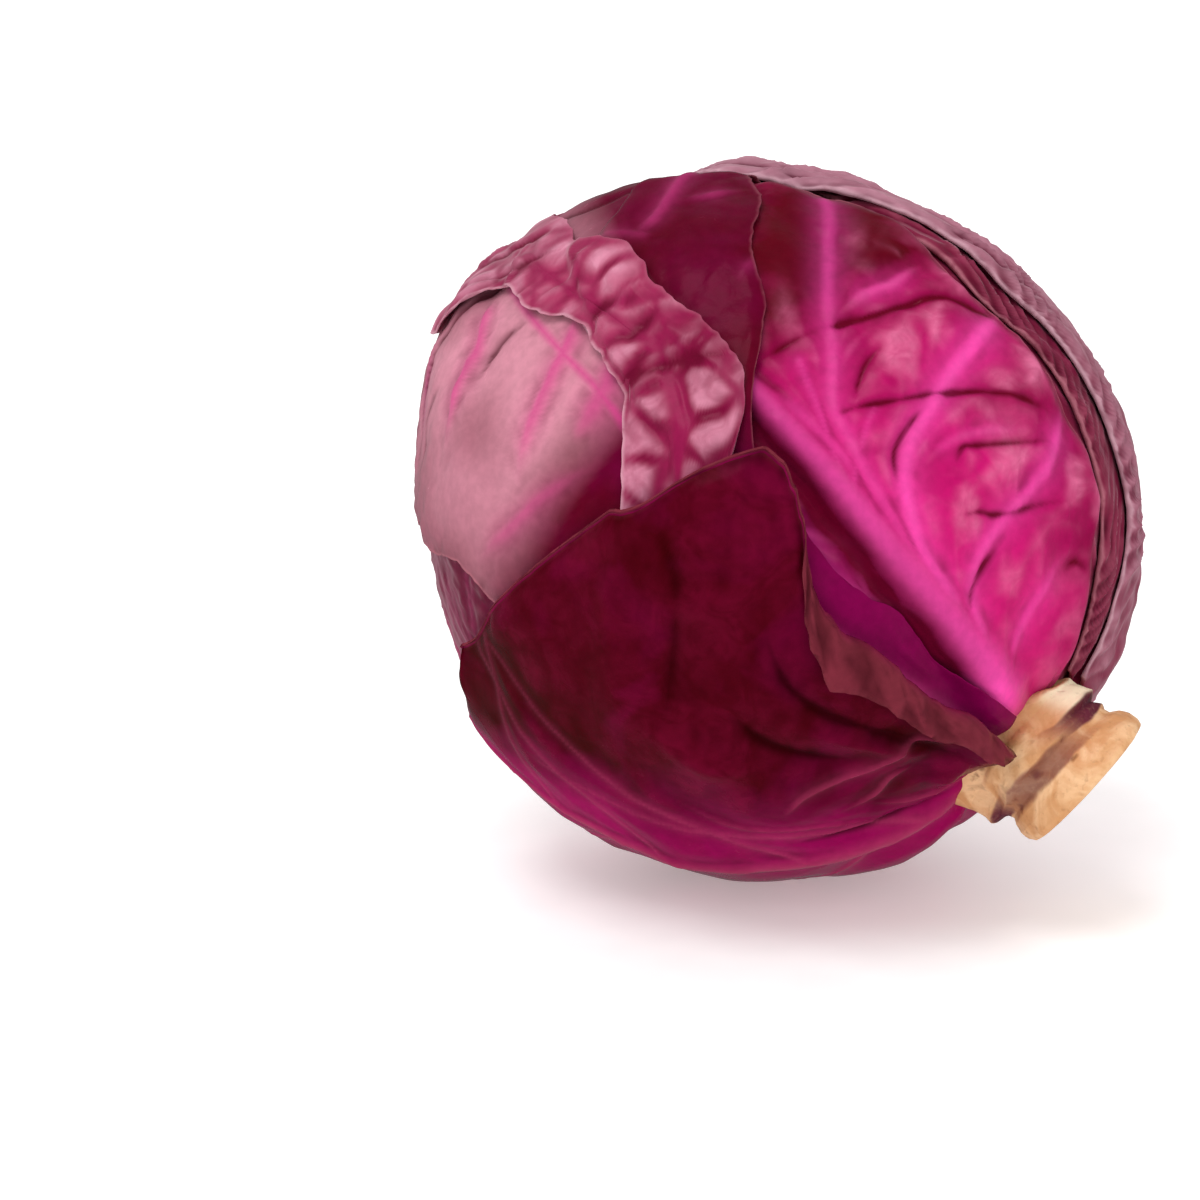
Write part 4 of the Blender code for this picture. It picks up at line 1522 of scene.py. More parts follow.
def write_mark(mesh: bpy.types.Mesh, name: str, values: np.ndarray) -> None:
    """Keeps a number for each of a mesh's points, for its skin to read."""
    mark = mesh.attributes.new(name, "FLOAT", "POINT")
    mark.data.foreach_set("value", values.astype(np.float32))


def settle(piece: bpy.types.Object, node: str) -> None:
    """Puts a piece in the scene and in the frame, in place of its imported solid.

    Args:
        piece: The piece.
        node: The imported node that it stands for.
    """
    bpy.context.scene.collection.objects.link(piece)
    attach(piece, "root")
    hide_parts(node)
    LOG.info("%s: %d vertices, %d faces", piece.name, len(piece.data.vertices), len(piece.data.polygons))


LEAVES = (
    OuterLeaf(
        node="low_back_leaf",
        slot=Slot.PLUM,
        finish=PLUM_SKIN,
        arc=150.0,
        base=12.0,
        tip=178.0,
        first=((12, -9), (40, -36), (90, -50), (130, -48), (160, -34), (178, -12)),
        last=((12, 9), (40, 34), (90, 48), (130, 46), (160, 32), (178, 12)),
        size=(141, 125),
        relief=Relief(swell=0.0004, pillow=0.0005),
        seed=21,
    ),
    OuterLeaf(
        node="back_leaf",
        slot=Slot.PLUM,
        finish=PLUM_SKIN,
        arc=212.0,
        base=12.0,
        tip=172.0,
        first=((12, -9), (40, -34), (90, -48), (130, -46), (155, -32), (172, -12)),
        last=((12, 9), (40, 34), (90, 50), (130, 48), (155, 34), (172, 12)),
        size=(141, 125),
        relief=Relief(swell=0.0004, pillow=0.0005),
        seed=33,
    ),
    OuterLeaf(
        node="right_inner_leaf",
        slot=Slot.DUSTY,
        finish=RIGHT_SKIN,
        midrib=((0, -95),),
        base=12.0,
        tip=140.0,
        first=((12, -130), (40, -142), (90, -150), (125, -140), (140, -110)),
        last=((12, -62), (33, -55), (60, -50), (90, -46), (115, -46), (132, -62), (140, -80)),
        rib=(0.0014, 0.0035),
        flare=(0.0, 0.0006),
        tuck=0.9,
        jag=0.2,
        relief=Relief(
            pleat=(0.0, 0.0012), pleat_size=0.003, crumple=0.0004, crumple_size=0.014, swell=0.0003,
            pillow=0.0003, blister=0.0002,
        ),
        seed=45,
    ),
    OuterLeaf(
        node="front_leaf",
        slot=Slot.BRIGHT,
        finish=FRONT_SKIN,
        midrib=((0, -9.5), (54, -9), (67, -10.5), (85, -12), (131, -15)),
        base=7.5,
        tip=131.0,
        first=(
            (11, -58), (15, -66), (33, -66), (51, -67), (64, -62), (75, -57),
            (105, -57), (118, -54), (131, -36),
        ),
        last=((11, 16), (20, 17), (50, 15), (70, 9), (85, 4), (100, -2), (118, -6), (131, -16)),
        rib=(0.0058, 0.0066),
        flare=(0.0010, 0.0),
        tip_flare=0.0,
        size=(273, 273),
        plan=VeinPlan(spacing=15.0, first=False, last=True, angle=30.0, width=0.0014, height=0.0007, forks=1),
        relief=Relief(
            pillow=0.0021, pillow_reach=0.0085, blister=0.0003, blister_size=0.014, swell=0.0012,
            crumple=0.0003, crumple_size=0.014, net=0.0, side_lift=(0.0014, -0.0006), bloom_and_highlight_from=0.3,
        ),
        veins=(
            Line(
                (
                    (33, -14), (44, -13), (52, -13), (58, -14.5), (65, -16), (71, -18), (77, -20), (82, -25),
                    (87, -29.5), (92, -34), (97, -39.5), (106, -50), (112, -56),
                ),
                0.0015, 0.0006, 0.45,
            ),
            Line(
                (
                    (34, -14), (44, -14), (52, -15.5), (58, -19), (62, -22.5), (65, -27), (67, -33),
                    (69, -39), (71, -45), (73, -51), (75, -60),
                ),
                0.0018, 0.0007, 0.75,
            ),
            Line(
                (
                    (28, -15), (34, -16), (39, -19), (42, -24), (44, -30), (46, -38), (48, -47), (53, -55),
                    (59, -61),
                ),
                0.0015, 0.0006, 0.6,
            ),
            Line(((88, -31), (88, -38), (87, -44), (87, -51)), 0.0013, 0.0009, 0.5),
            Line(((22, -18), (26, -28), (31, -42), (37, -56)), 0.0014, 0.0005, 0.45),
            Line(((60, -24), (61, -32), (59, -42), (55, -52)), 0.0009, 0.0004, 0.4),
            Line(((76, -20), (82, -28), (83, -36)), 0.0009, 0.0004, 0.3),
            Line(((90, -14), (80, -15), (70, -15), (60, -13)), 0.0012, 0.0004, 0.5),
        ),
        creases=(
            Line(
                ((88, -28), (86.5, -32), (85, -36), (83, -42), (81, -47), (77, -52), (73, -58)),
                0.0019, 0.0014, 0.7,
            ),
            Line(((90.5, -15), (89.5, -22), (88, -29)), 0.0014, 0.0009, 0.4),
            Line(((76, -18), (74, -24), (71, -30), (68, -38), (65, -45)), 0.0011, 0.0008, 0.25),
            Line(((68, -36), (65, -45), (61, -51), (57, -57)), 0.0018, 0.0013, 0.45),
            Line(((57, -31), (59, -35), (58, -38), (55, -47), (53, -55)), 0.0013, 0.0008, 0.25),
            Line(((51, -25), (49, -31), (46, -38), (43, -61)), 0.0013, 0.0008, 0.25),
            Line(((75, -23), (77, -26), (79, -30), (79.5, -35)), 0.0014, 0.001, 0.45),
            Line(((60, -19), (65, -23), (67, -29), (68, -36)), 0.0011, 0.0007, 0.25),
            Line(((36, -15), (39, -19), (41, -25), (42, -32)), 0.0014, 0.0009, 0.35),
            Line(((31, -50), (34, -55), (31, -60)), 0.002, 0.001, 0.45),
            # Painted shadow of the midrib on the narrow blade beside it, along this crease.
            Line(
                (
                    (98, -10), (86, -8.5), (79, -7.5), (72, -7), (65, -5.5), (58, -5), (51, -4), (44, -3),
                    (32, -1), (21, 3),
                ),
                0.0034, 0.0022, 1.9,
            ),
        ),
        puffs=(
            Line(((95, -24), (92, -28)), 0.005, 0.0009, 0.8),
            Line(((99, -44), (95, -47)), 0.005, 0.0005, 0.5),
            Line(((82, -32), (80, -36), (76, -38)), 0.005, 0.0012, 0.2),
            Line(((76, -44), (78, -42)), 0.0045, 0.0008, 0.8),
            Line(((84, -50), (83, -54)), 0.0035, 0.0006, 0.8),
            Line(((71, -22), (67, -21)), 0.003, 0.0004, 0.6),
            Line(((54, -38), (54, -44), (52, -48)), 0.0062, 0.0014, 0.95),
            Line(((61, -41), (62, -46)), 0.0042, 0.0006, 0.7),
            Line(((65, -54), (62, -55)), 0.0038, 0.0005, 0.8),
            Line(((49, -27), (48, -31)), 0.0036, 0.0005, 0.7),
            Line(((27, -46), (37, -54)), 0.0045, 0.0006, 0.45),
        ),
        tone=((0, 0.9), (45, 0.8), (70, 0.8), (86, 0.7), (92, 0.15), (97, -0.2), (130, -0.4)),
        tone_side=((-1, -0.5), (-0.75, -0.15), (-0.5, 0.0), (1, 0.0)),
        # The violet tint over the narrow blade beyond the midrib is painted shade.
        tint=((0, 1.0),),
        tint_side=((-1, 0.0), (0.12, 0.0), (0.34, 0.9), (1, 1.0)),
        bloom_and_highlight_share=((0, 0.4), (30, 0.5), (50, 0.9), (84, 1.0), (93, 0.2), (98, 0.0), (130, 0.0)),
        seed=7,
    ),
    OuterLeaf(
        node="right_middle_leaf",
        slot=Slot.DUSTY,
        finish=RIGHT_SKIN,
        midrib=((0, -118),),
        base=12.5,
        tip=146.0,
        first=((12, -160), (40, -172), (90, -178), (125, -166), (146, -130)),
        last=(
            (12, -92), (17, -88), (33, -79), (51, -76), (63, -69), (76, -63),
            (101, -59), (125, -66), (146, -104),
        ),
        rib=(0.0014, 0.0035),
        flare=(0.0, 0.0010),
        size=(193, 181),
        tuck=0.9,
        slack=14,
        jag=0.25,
        relief=Relief(
            pleat=(0.0, 0.0014), pleat_size=0.0032, crumple=0.0005, crumple_size=0.014, swell=0.0003,
            pillow=0.0003, blister=0.0002, ruffle_size=0.013,
        ),
        seed=51,
    ),
    OuterLeaf(
        node="low_left_leaf",
        slot=Slot.DUSTY,
        finish=PLUM_SKIN,
        arc=84.0,
        base=13.0,
        tip=186.0,
        first=((13, -8), (40, -28), (90, -44), (130, -44), (160, -36), (180, -20), (186, -10)),
        last=((13, 8), (40, 30), (90, 46), (130, 46), (160, 38), (180, 22), (186, 10)),
        flare=(0.0, 0.002),
        size=(177, 153),
        seed=64,
    ),
    OuterLeaf(
        node="upper_leaf",
        slot=Slot.WINE,
        finish=UPPER_SKIN,
        arc=10.0,
        midrib=((0, 0), (60, 0), (110, -6), (200, -6)),
        base=13.5,
        tip=200.0,
        first=(
            (13, -5), (50, -8), (76, -12), (87, -23), (95, -31), (109, -40),
            (130, -47), (142, -50), (165, -51), (185, -44), (200, -26),
        ),
        last=((13, 8), (50, 22), (90, 32), (125, 36), (160, 38), (185, 32), (200, 14)),
        rib=(0.0008, 0.0024),
        flare=(0.0004, 0.0012),
        tip_flare=0.001,
        size=(241, 201),
        plan=VeinPlan(first=False, last=False, width=0.0012),
        relief=Relief(pillow=0.0006, blister=0.0002, swell=0.0012, crumple=0.0002, net=0.0),
        veins=(
            Line(
                ((150, -46), (148, -43), (140, -39), (132, -34), (128, -30), (126, -24)),
                0.0009, 0.0007, 0.8,
            ),
            Line(((128, -46), (129, -40), (130, -33)), 0.0008, 0.0006, 0.7),
            Line(((124, -29), (126, -27), (130, -23), (134, -20)), 0.0006, 0.0004, 0.6),
            Line(((146, -3), (143, 0), (139, 4), (135, 11), (130, 20)), 0.0014, 0.0009),
            Line(((126, -14), (120, -8), (118, -2), (115, 5), (110, 16)), 0.0016, 0.0009),
            Line(((114, -14), (109, -9), (107, -3), (105, 4)), 0.0026, 0.0006, 0.9),
            Line(((158, 6), (152, 16), (146, 26)), 0.0012, 0.0007, 0.8),
            Line(((108, -40), (106, -36), (104, -32)), 0.0006, 0.0004, 0.5),
            Line(((98, 1), (104, 12), (108, 22), (112, 32)), 0.0012, 0.0006, 0.6),
            Line(((78, 2), (86, 14), (92, 24), (98, 30)), 0.0014, 0.0007, 0.6),
            Line(((60, 2), (68, 12), (76, 22), (84, 28)), 0.0014, 0.0007, 0.6),
        ),
        creases=(
            Line(((131, -6), (134, 1), (133, 9)), 0.0012, 0.0009, 0.7),
            Line(((138, -46), (148, -34), (160, -14), (162, 8), (150, 24)), 0.03, -0.0045, 0.0),
            Line(((160, -24), (162, -15), (160, -4), (159, 6), (157, 15), (158, 30)), 0.0016, 0.0016, 0.8),
            Line(((150, -16), (149, -5), (153, 8), (152, 15), (148, 30)), 0.0014, 0.0013, 0.7),
            Line(((170, -24), (171, -8), (168, 8), (166, 24)), 0.0016, 0.0016, 0.8),
            Line(((145, -44), (148, -32), (150, -23), (157, -15)), 0.0012, 0.001, 0.7),
            Line(((142, 12), (145, 20), (141, 30)), 0.0012, 0.0009, 0.6),
        ),
        tone=((0, 1.1), (68, 1.0), (80, 0.3), (92, 0.05), (200, 0.1)),
        tint=((0, 0.0), (98, 0.0), (106, 0.5), (112, 0.95), (150, 0.95), (165, 0.7), (180, 0.3)),
        tint_side=((-1, 0.0), (-0.45, 0.0), (-0.2, 0.9), (0.3, 1.0), (0.6, 0.8), (1, 0.5)),
        rim_from=72.0,
        rims=(0.35, 1.0),
        seed=71,
    ),
    OuterLeaf(
        node="torn_leaf",
        slot=Slot.DUSTY,
        finish=TORN_SKIN,
        arc=10.0,
        midrib=((12, 4), (40, 15), (60, 18), (80, 4), (90, -10), (103, -17), (150, -10), (190, -4)),
        base=14.0,
        tip=190.0,
        first=(
            (14, -1), (50, 4), (68, 3), (76, 0), (81, -11), (84, -19), (87, -23),
            (109, -25), (129, -22), (151, -17), (175, -18), (190, -12),
        ),
        last=(
            (14, 9), (40, 30), (60, 35), (75, 27), (88, 10), (97, -2), (104, -10),
            (120, -10), (138, -7), (147, -2), (158, 8), (175, 12), (190, 4),
        ),
        rib=(0.0008, 0.0030),
        flare=(0.0002, 0.0012),
        tip_flare=0.0,
        rims=(0.15, 1.0),
        size=(257, 213),
        plan=VeinPlan(first=False, last=False, width=0.0012, height=0.0008),
        relief=Relief(
            pillow=0.0004, pillow_reach=0.005, blister=0.0009, blister_size=0.0098, swell=0.0009,
            swell_size=0.02, crumple=0.0002, crumple_size=0.012, ruffle_size=0.008, net=0.75, bloom_and_highlight_from=0.32,
            calm=((0, 1.0), (118, 1.0), (136, 0.35), (190, 0.2)),
        ),
        veins=(
            Line(((129, -22), (128, -15), (131, -8)), 0.0013, 0.0011, 0.8),
            Line(((115, -23), (115, -17), (115, -9)), 0.0009, 0.001, 0.8),
            Line(((152, -14), (145, -9), (141, -3)), 0.0009, 0.0008, 0.6),
            Line(((100, -24), (101, -19), (104, -14)), 0.0007, 0.0006, 0.5),
            Line(((165, -12), (160, -5), (158, 4)), 0.001, 0.0008, 0.6),
        ),
        creases=(
            Line(((93, -24), (98, -19), (101, -15), (103, -11), (105, -8)), 0.0018, 0.0012),
            Line(((119, -19), (117, -15), (118, -11)), 0.0018, 0.0009, 0.6),
            Line(((108, -22), (109, -17), (107, -12)), 0.0018, 0.0009, 0.6),
            Line(((155, 2), (149, -4), (142, -11), (137, -18)), 0.0013, 0.0011, 0.7),
            Line(((163, 0), (156, -6), (150, -12), (146, -17)), 0.0013, 0.0011, 0.7),
            Line(((172, -2), (165, -8), (158, -14)), 0.0014, 0.0012, 0.7),
        ),
        puffs=(
            Line(((158, 3), (152, -2), (146, -8), (140, -14), (135, -20)), 0.002, 0.001, 0.7),
            Line(((167, 2), (159, -4), (153, -10), (148, -17)), 0.002, 0.001, 0.6),
            Line(((176, -2), (169, -6), (162, -12)), 0.002, 0.001, 0.6),
        ),
        tone=((0, 0.0), (104, 0.05), (114, 0.6), (190, 0.6)),
        bloom_and_highlight_share=((0, 0.75), (104, 0.75), (114, 1.0), (190, 0.8)),
        jag=0.5,
        seed=82,
    ),
    OuterLeaf(
        node="bottom_leaf",
        slot=Slot.DARK,
        finish=BOTTOM_SKIN,
        midrib=((0, 84),),
        base=7.5,
        tip=106.0,
        first=(
            (11, 12), (20, 9), (29, 6), (40, 10), (53, 8), (62, 4), (70, -3), (78, -6),
            (82, -3), (84, 5), (86.5, 13), (93, 19), (94.5, 31), (99, 38), (101, 50), (106, 64),
        ),
        last=((11, 146), (40, 158), (70, 160), (90, 148), (106, 108)),
        rib=(0.0022, 0.005),
        flare=(0.0012, 0.0014),
        tip_flare=0.0020,
        size=(241, 225),
        plan=VeinPlan(spacing=22.0, width=0.0009, height=0.0005, forks=0),
        relief=Relief(
            pillow=0.0013, pillow_reach=0.008, blister=0.0, blister_size=0.014, swell=0.0026, swell_size=0.02,
            crumple=0.0003, crumple_size=0.012, net=0.0, bloom_and_highlight_from=0.2,
        ),
        veins=(
            Line(((22, 18), (30, 20), (32, 31), (37, 41), (42, 49), (44, 58)), 0.0006, 0.0009),
            Line(((27, 31), (29, 39), (30, 49), (36, 57)), 0.0006, 0.0009),
            Line(((8, 50), (13, 53), (17, 55), (23, 56), (30, 53)), 0.0006, 0.0009),
            Line(((24, 66), (36, 63), (50, 64), (62, 60)), 0.0005, 0.0007, 0.8),
        ),
        creases=(
            Line(((14, 22), (27, 22), (38, 23), (46, 24), (54, 22), (62, 15)), 0.003, 0.0018, 0.7),
            Line(((36, 33), (44, 36), (52, 36), (60, 32)), 0.0035, 0.0018, 0.5),
            Line(((26, 26), (33, 27), (40, 28), (48, 30)), 0.003, -0.0022, 0.0),
            Line(((16, 38), (19, 40), (22, 44)), 0.005, -0.0018, 0.0),
            Line(((64, 8), (70, 18), (78, 26)), 0.006, -0.0018, 0.0),
            Line(((50, 42), (58, 46), (70, 44)), 0.004, -0.0022, 0.0),
            Line(((12, 62), (20, 66), (30, 70), (44, 72)), 0.002, 0.0012, 0.5),
            Line(((84, 12), (76, 18), (70, 30), (66, 44)), 0.004, 0.0014, 0.25),
        ),
        puffs=(
            Line(((46, 27), (40, 24), (35, 20)), 0.004, 0.0008, 0.5),
            Line(((22, 37), (18, 30), (17, 23)), 0.004, 0.0008, 0.5),
            Line(((60, 22), (56, 20)), 0.004, 0.0006, 0.4),
            Line(((40, 38), (34, 36), (28, 34)), 0.004, 0.0008, 0.5),
            Line(((74, 6), (70, 4)), 0.004, 0.0005, 0.5),
        ),
        # The tone is darker near the first border as painted shadow under the fold, and bright magenta towards
        # the last border as painted light from the floor.
        tone=((0, 0.35), (40, 0.15), (70, -0.1), (106, -0.1)),
        tone_side=((-1, -0.1), (-0.45, 0.0), (-0.25, 0.4), (-0.1, 0.9), (1, 0.9)),
        fold=Fold(
            radius=0.0017,
            columns=28,
            widths=((12, 0.001), (20, 0.0045), (30, 0.006), (40, 0.007), (52, 0.011), (59, 0.006), (66, 0.0)),
        ),
        inner_step=2,
        slack=50,
        jag=0.6,
        seed=93,
        rests=True,
    ),
    OuterLeaf(
        node="top_leaf",
        slot=Slot.DUSTY,
        finish=TOP_SKIN,
        midrib=((0, -138),),
        base=12.0,
        tip=154.0,
        first=((12, -176), (40, -192), (90, -200), (125, -194), (146, -172), (154, -150)),
        last=(
            (12, -100), (28, -95), (44, -90), (56, -83), (67, -74), (80, -68), (100, -64),
            (113, -59), (125, -54), (140, -60), (154, -110),
        ),
        flare=(0.0012, 0.0010),
        size=(233, 201),
        tuck=0.9,
        slack=8,
        jag=0.25,
        relief=Relief(
            pleat=(0.0, 0.0015), pleat_size=0.0042, crumple=0.0004, crumple_size=0.015, swell=0.0006,
            swell_size=0.016, ruffle_size=0.016,
        ),
        creases=(
            Line(((70, -77), (80, -72), (92, -69), (101, -67)), 0.0009, 0.0010, 0.8),
            Line(((95, -71), (106, -66.5), (118, -61), (128, -58)), 0.0010, 0.0011, 0.8),
            Line(((112, -67), (122, -62), (134, -60), (142, -66)), 0.0010, 0.0010, 0.7),
            Line(((86, -76), (98, -74), (110, -70)), 0.0010, 0.0010, 0.7),
        ),
        # The pale tint towards the tip and the last border is partly painted sheen along the top of the head.
        tint=((0, 0.2), (70, 0.35), (90, 0.55), (105, 0.95), (154, 1.0)),
        tint_side=((-1, 0.0), (0.5, 0.0), (0.85, 0.5), (1, 0.9)),
        seed=104,
    ),
)


@dataclass
class PackedHead:
    """The tight inner head, which shows only in the gaps between the loose leaves."""

    segments: int = 132
    rings: int = 66
    fold_height: float = 0.0007
    fold_count: int = 5
    full_sides: tuple[tuple[Direction, float], ...] = (
        ((-0.78, 0.16, 0.6), 0.0056),
        ((0.98, 0.03, 0.1), 0.0038),
    )
    full_sharpness: float = 3.5
    skin: LeafFinish = PLUM_SKIN

    def build(self, height: float, head: HeadSurface) -> bpy.types.Object:
        """Makes the inner head and starts the head's surface with it.

        Args:
            height: How high its centre is above the floor.
            head: Gets its surface.

        Returns:
            The inner head.
        """
        shape = bmesh.new()
        bmesh.ops.create_uvsphere(shape, u_segments=self.segments, v_segments=self.rings, radius=1.0)
        flat = math.sqrt(BALL_RADIUS**2 - BALL_FLAT_RADIUS**2)
        for vertex in shape.verts:
            turn = math.atan2(vertex.co.y, vertex.co.x)
            ray = vertex.co.x * ZERO + vertex.co.y * QUARTER + vertex.co.z * STEM
            out = math.hypot(vertex.co.x, vertex.co.y)
            fold = out * math.sin(self.fold_count * turn + 2.0 * vertex.co.z)
            fold += 0.5 * out * math.sin(3 * self.fold_count * turn + 9.0 * vertex.co.z)
            radius = BALL_RADIUS + self.fold_height * (fold - 1.5)
            for side, more in self.full_sides:
                radius += more * max(0.0, float(ray.dot(side))) ** self.full_sharpness
            if ray[2] * radius < -flat:
                radius = -flat / ray[2]
            vertex.co = Vector(ray * radius)
        shape.verts.ensure_lookup_table()
        faces = [tuple(vertex.index for vertex in face.verts) for face in shape.faces]
        head.add(np.array([vertex.co for vertex in shape.verts]), faces)
        bmesh.ops.translate(shape, verts=shape.verts, vec=(0.0, 0.0, height))
        mesh = bpy.data.meshes.new("packed_head_fine")
        shape.to_mesh(mesh)
        shape.free()
        even = {"tone": 0.4, "tint": 0.0, "vein": 0.0, "rise": 0.3, "crease_shade": 0.0, "rim": 0.0}
        for name, value in even.items():
            write_mark(mesh, name, np.full(len(mesh.vertices), value))
        mesh.shade_smooth()
        mesh.materials.append(self.skin.material())
        ball = bpy.data.objects.new("packed_head_fine", mesh)
        settle(ball, "packed_head")
        return ball


@dataclass(frozen=True)
class StemFinish:
    """A dry cut stem: tan bark with brown pits, cream cut leaf bases and purple remnants of their skin."""

    name: str = "cut_stem_skin"
    bark: Colour = (0.66, 0.32, 0.13)
    pale: Colour = (0.88, 0.55, 0.3)
    pit: Colour = (0.24, 0.09, 0.03)
    purple: Colour = (0.13, 0.008, 0.03)
    cream: Colour = (0.97, 0.84, 0.58)

    def material(self) -> bpy.types.Material:
        """The stem's nodes.

        Returns:
            The material.
        """
        skin = bpy.data.materials.new(self.name)
        bench = NodeBench(skin)
        cloud, fine = bench.noise(120.0, 5.0, 0.8), bench.noise(700.0, 5.0, 0.4)
        colour = bench.mix(bench.scaled(cloud, 0.35, 0.65, 0.0, 1.0), self.bark, self.pale)
        pits = bench.scaled(bench.cells(260.0, "F1", 1.6), 0.08, 0.4, 1.0, 0.0)
        pits = bench.math("MULTIPLY", pits, bench.scaled(bench.noise(190.0), 0.52, 0.62, 0.0, 0.8))
        stain = bench.math("MAXIMUM", pits, bench.scaled(cloud, 0.58, 0.7, 0.0, 0.35))
        colour = bench.mix(stain, colour, self.pit)
        colour = bench.mix(bench.attribute("cream"), colour, self.cream)
        skinned = bench.math("MULTIPLY", bench.attribute("purple"), bench.scaled(fine, 0.2, 0.5, 0.85, 1.0))
        colour = bench.mix(skinned, colour, self.purple)
        colour = bench.mix(bench.scaled(fine, 0.55, 0.75, 0.0, 0.25), colour, self.pit)
        height = bench.math("SUBTRACT", bench.math("ADD", cloud, bench.math("MULTIPLY", fine, 0.5)), pits)
        bench.surface(
            Base_Color=colour,
            Roughness=bench.scaled(fine, 0.3, 0.7, 0.5, 0.75),
            Normal=bench.bump(height, 0.0009, 0.5),
            Specular_IOR_Level=0.3,
        )
        return skin


@dataclass(frozen=True)
class LeafScar:
    """The base of a leaf that was cut off, as a shelf on the stem.

    Its start and end are shares of the stem's length, and its width is in degrees.
    """

    azimuth: float
    width: float
    start: float
    end: float
    lip: float
    cream: float
    purple: float

    def near(self, degrees: np.ndarray, spread: float, power: int) -> np.ndarray:
        """How near azimuths are to the scar, from 0 to 1, over a share of its width."""
        away = (degrees - self.azimuth + 180.0) % 360.0 - 180.0
        return np.exp(-((away / (spread * self.width)) ** power))

    @staticmethod
    def band(at: np.ndarray, start: float, rise: float, end: float, fall: float) -> np.ndarray:
        """1 between two places along the stem, with a smooth rise after one and a fall after the other."""
        return smooth_step((at - start) / rise) * (1.0 - smooth_step((at - end) / fall))

    def shelf(self, at: np.ndarray, degrees: np.ndarray) -> np.ndarray:
        """How far the scar stands off the stem."""
        return self.lip * self.near(degrees, 1.0, 4) * self.band(at, self.start, 0.14, self.end, 0.05)

    def cut(self, at: np.ndarray, degrees: np.ndarray) -> np.ndarray:
        """How cream the cut leaf base is."""
        open_cut = self.band(at, self.start + 0.1, 0.05, self.end, 0.04)
        return self.cream * self.near(degrees, 0.85, 6) * open_cut

    def remnant(self, at: np.ndarray, degrees: np.ndarray) -> np.ndarray:
        """How purple the remnant of leaf skin past the cut is."""
        skin = self.band(at, self.end - 0.01, 0.03, self.end + 0.15, 0.03)
        return self.purple * self.near(degrees, 1.5, 4) * skin


